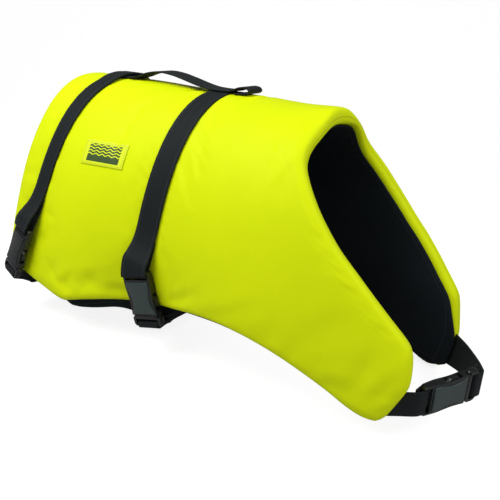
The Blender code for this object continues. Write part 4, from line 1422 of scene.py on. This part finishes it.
def make_floor():
    """A pale sweep of paper under the jacket and up behind it."""
    low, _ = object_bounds()
    deselect()
    bpy.ops.mesh.primitive_plane_add(size=2 * SWEEP_REACH, location=(0, 0, 0))
    floor = bpy.context.object
    floor.name = "floor"
    bpy.ops.object.mode_set(mode="EDIT")
    bpy.ops.mesh.select_all(action="DESELECT")
    bpy.ops.object.mode_set(mode="OBJECT")
    for edge in floor.data.edges:
        edge.select = all(floor.data.vertices[v].co.y > 0 for v in edge.vertices)
    bpy.ops.object.mode_set(mode="EDIT")
    bpy.ops.mesh.select_mode(type="EDGE")
    bpy.ops.mesh.extrude_region_move(TRANSFORM_OT_translate={"value": (0, 0, 2 * SWEEP_REACH)})
    bpy.ops.object.mode_set(mode="OBJECT")
    round_edges(floor, SWEEP_BEND / MM, 24, 50)
    floor.data.shade_smooth()
    floor.data.transform(Matrix.Rotation(math.radians(CAMERA_TURN), 4, "Z"))
    floor.data.transform(Matrix.Translation((0, 0, low.z - FLOOR_DROP * MM)))
    paper = Finish("floor_paper", PAPER_TONE, 0.9, 0.05)
    paper.set("Emission Color", (1, 1, 1, 1))
    seen = paper.add("LightPath")["Is Camera Ray"]
    paper.set("Emission Strength", paper.calc("MULTIPLY", seen, PAPER_GLOW))
    see_through_back(paper)
    floor.data.materials.append(paper.material)


def make_studio():
    """The floor and plain soft light, strongest from above the jacket's rear."""
    make_floor()
    for softbox in SOFTBOXES:
        add_softbox(*softbox)
    world = bpy.data.worlds.new("studio")
    bpy.context.scene.world = world
    world.use_nodes = True
    sky = Nodes(world.node_tree)
    background = world.node_tree.nodes["Background"].inputs
    sky.feed(background["Color"], (1.0, 1.0, 1.0, 1))
    shown = sky.calc("MULTIPLY_ADD", sky.add("LightPath")["Is Camera Ray"], 1.0 - WORLD_GLOW, WORLD_GLOW)
    sky.feed(background["Strength"], shown)
    bpy.context.scene.view_settings.view_transform = "Standard"


# ---- the whole jacket
def dress_cloth():
    cover = make_cover()
    dress(cover, make_cover_finish(), "cover", "padded_saddle")
    lining = make_lining()
    dress(lining, make_lining_finish(), "lining", "lining")
    patch = make_label(cover)
    dress(patch, make_patch_finish(), "label", "label")


def dress_webbing(buckles):
    sewn = make_webbing_finish("webbing_sewn", True)
    free = make_webbing_finish("webbing_free", False)
    strips = [(make_handle(), "handle", sewn, HANDLE_WEB)]
    for girth, buckle in zip(GIRTHS, buckles):
        strips.append((make_back_strap(girth, buckle), girth.name + "_back_strap", sewn, girth.web))
        strips.append((make_belly_strap(girth, buckle), girth.name + "_belly_strap", free, girth.web))
    for strip, end in zip(make_chest_straps(buckles[-1]), ("near", "far")):
        strips.append((strip, "chest_strap_" + end, free, CHEST_WEB))
    for (strip, length), node, material, width in strips:
        dress(strip, material, "webbing", node)


def dress_buckles(buckles):
    plastic = make_plastic_finish("buckle_plastic", PLASTIC_TONE, 0.3)
    # The raised faces get a lighter plastic, a painted reflection of the softboxes on the same black plastic.
    plate_reflection_plastic = make_plastic_finish("buckle_face_plastic", PLATE_REFLECTION_TONE, 0.36)
    forms = (("socket", make_socket_form(), plastic), ("face", make_face_form(), plate_reflection_plastic),
             ("prongs", make_prongs_form(), plastic))
    for place, buckle in zip(("rear", "middle", "chest"), buckles):
        for part, form, material in forms:
            node = f"{place}_buckle_{part}"
            piece = place_copy(form, node + "_piece", buckle)
            nodes = [] if part == "face" else [node]
            # The rear buckle's face is turned away from the light, so it keeps the dark plastic and gets no
            # painted reflection.
            dress(piece, plastic if place == "rear" else material, "plastic", *nodes)
    for _, form, _ in forms:
        bpy.data.objects.remove(form, do_unlink=True)


def main():
    for make_pattern in (make_plain_weave, make_herringbone, make_stitch_row, make_mottle):
        make_pattern()
    buckles = [girth_buckle(girth) for girth in GIRTHS] + [chest_buckle()]
    dress_cloth()
    dress_webbing(buckles)
    dress_buckles(buckles)
    make_camera()
    make_studio()


main()
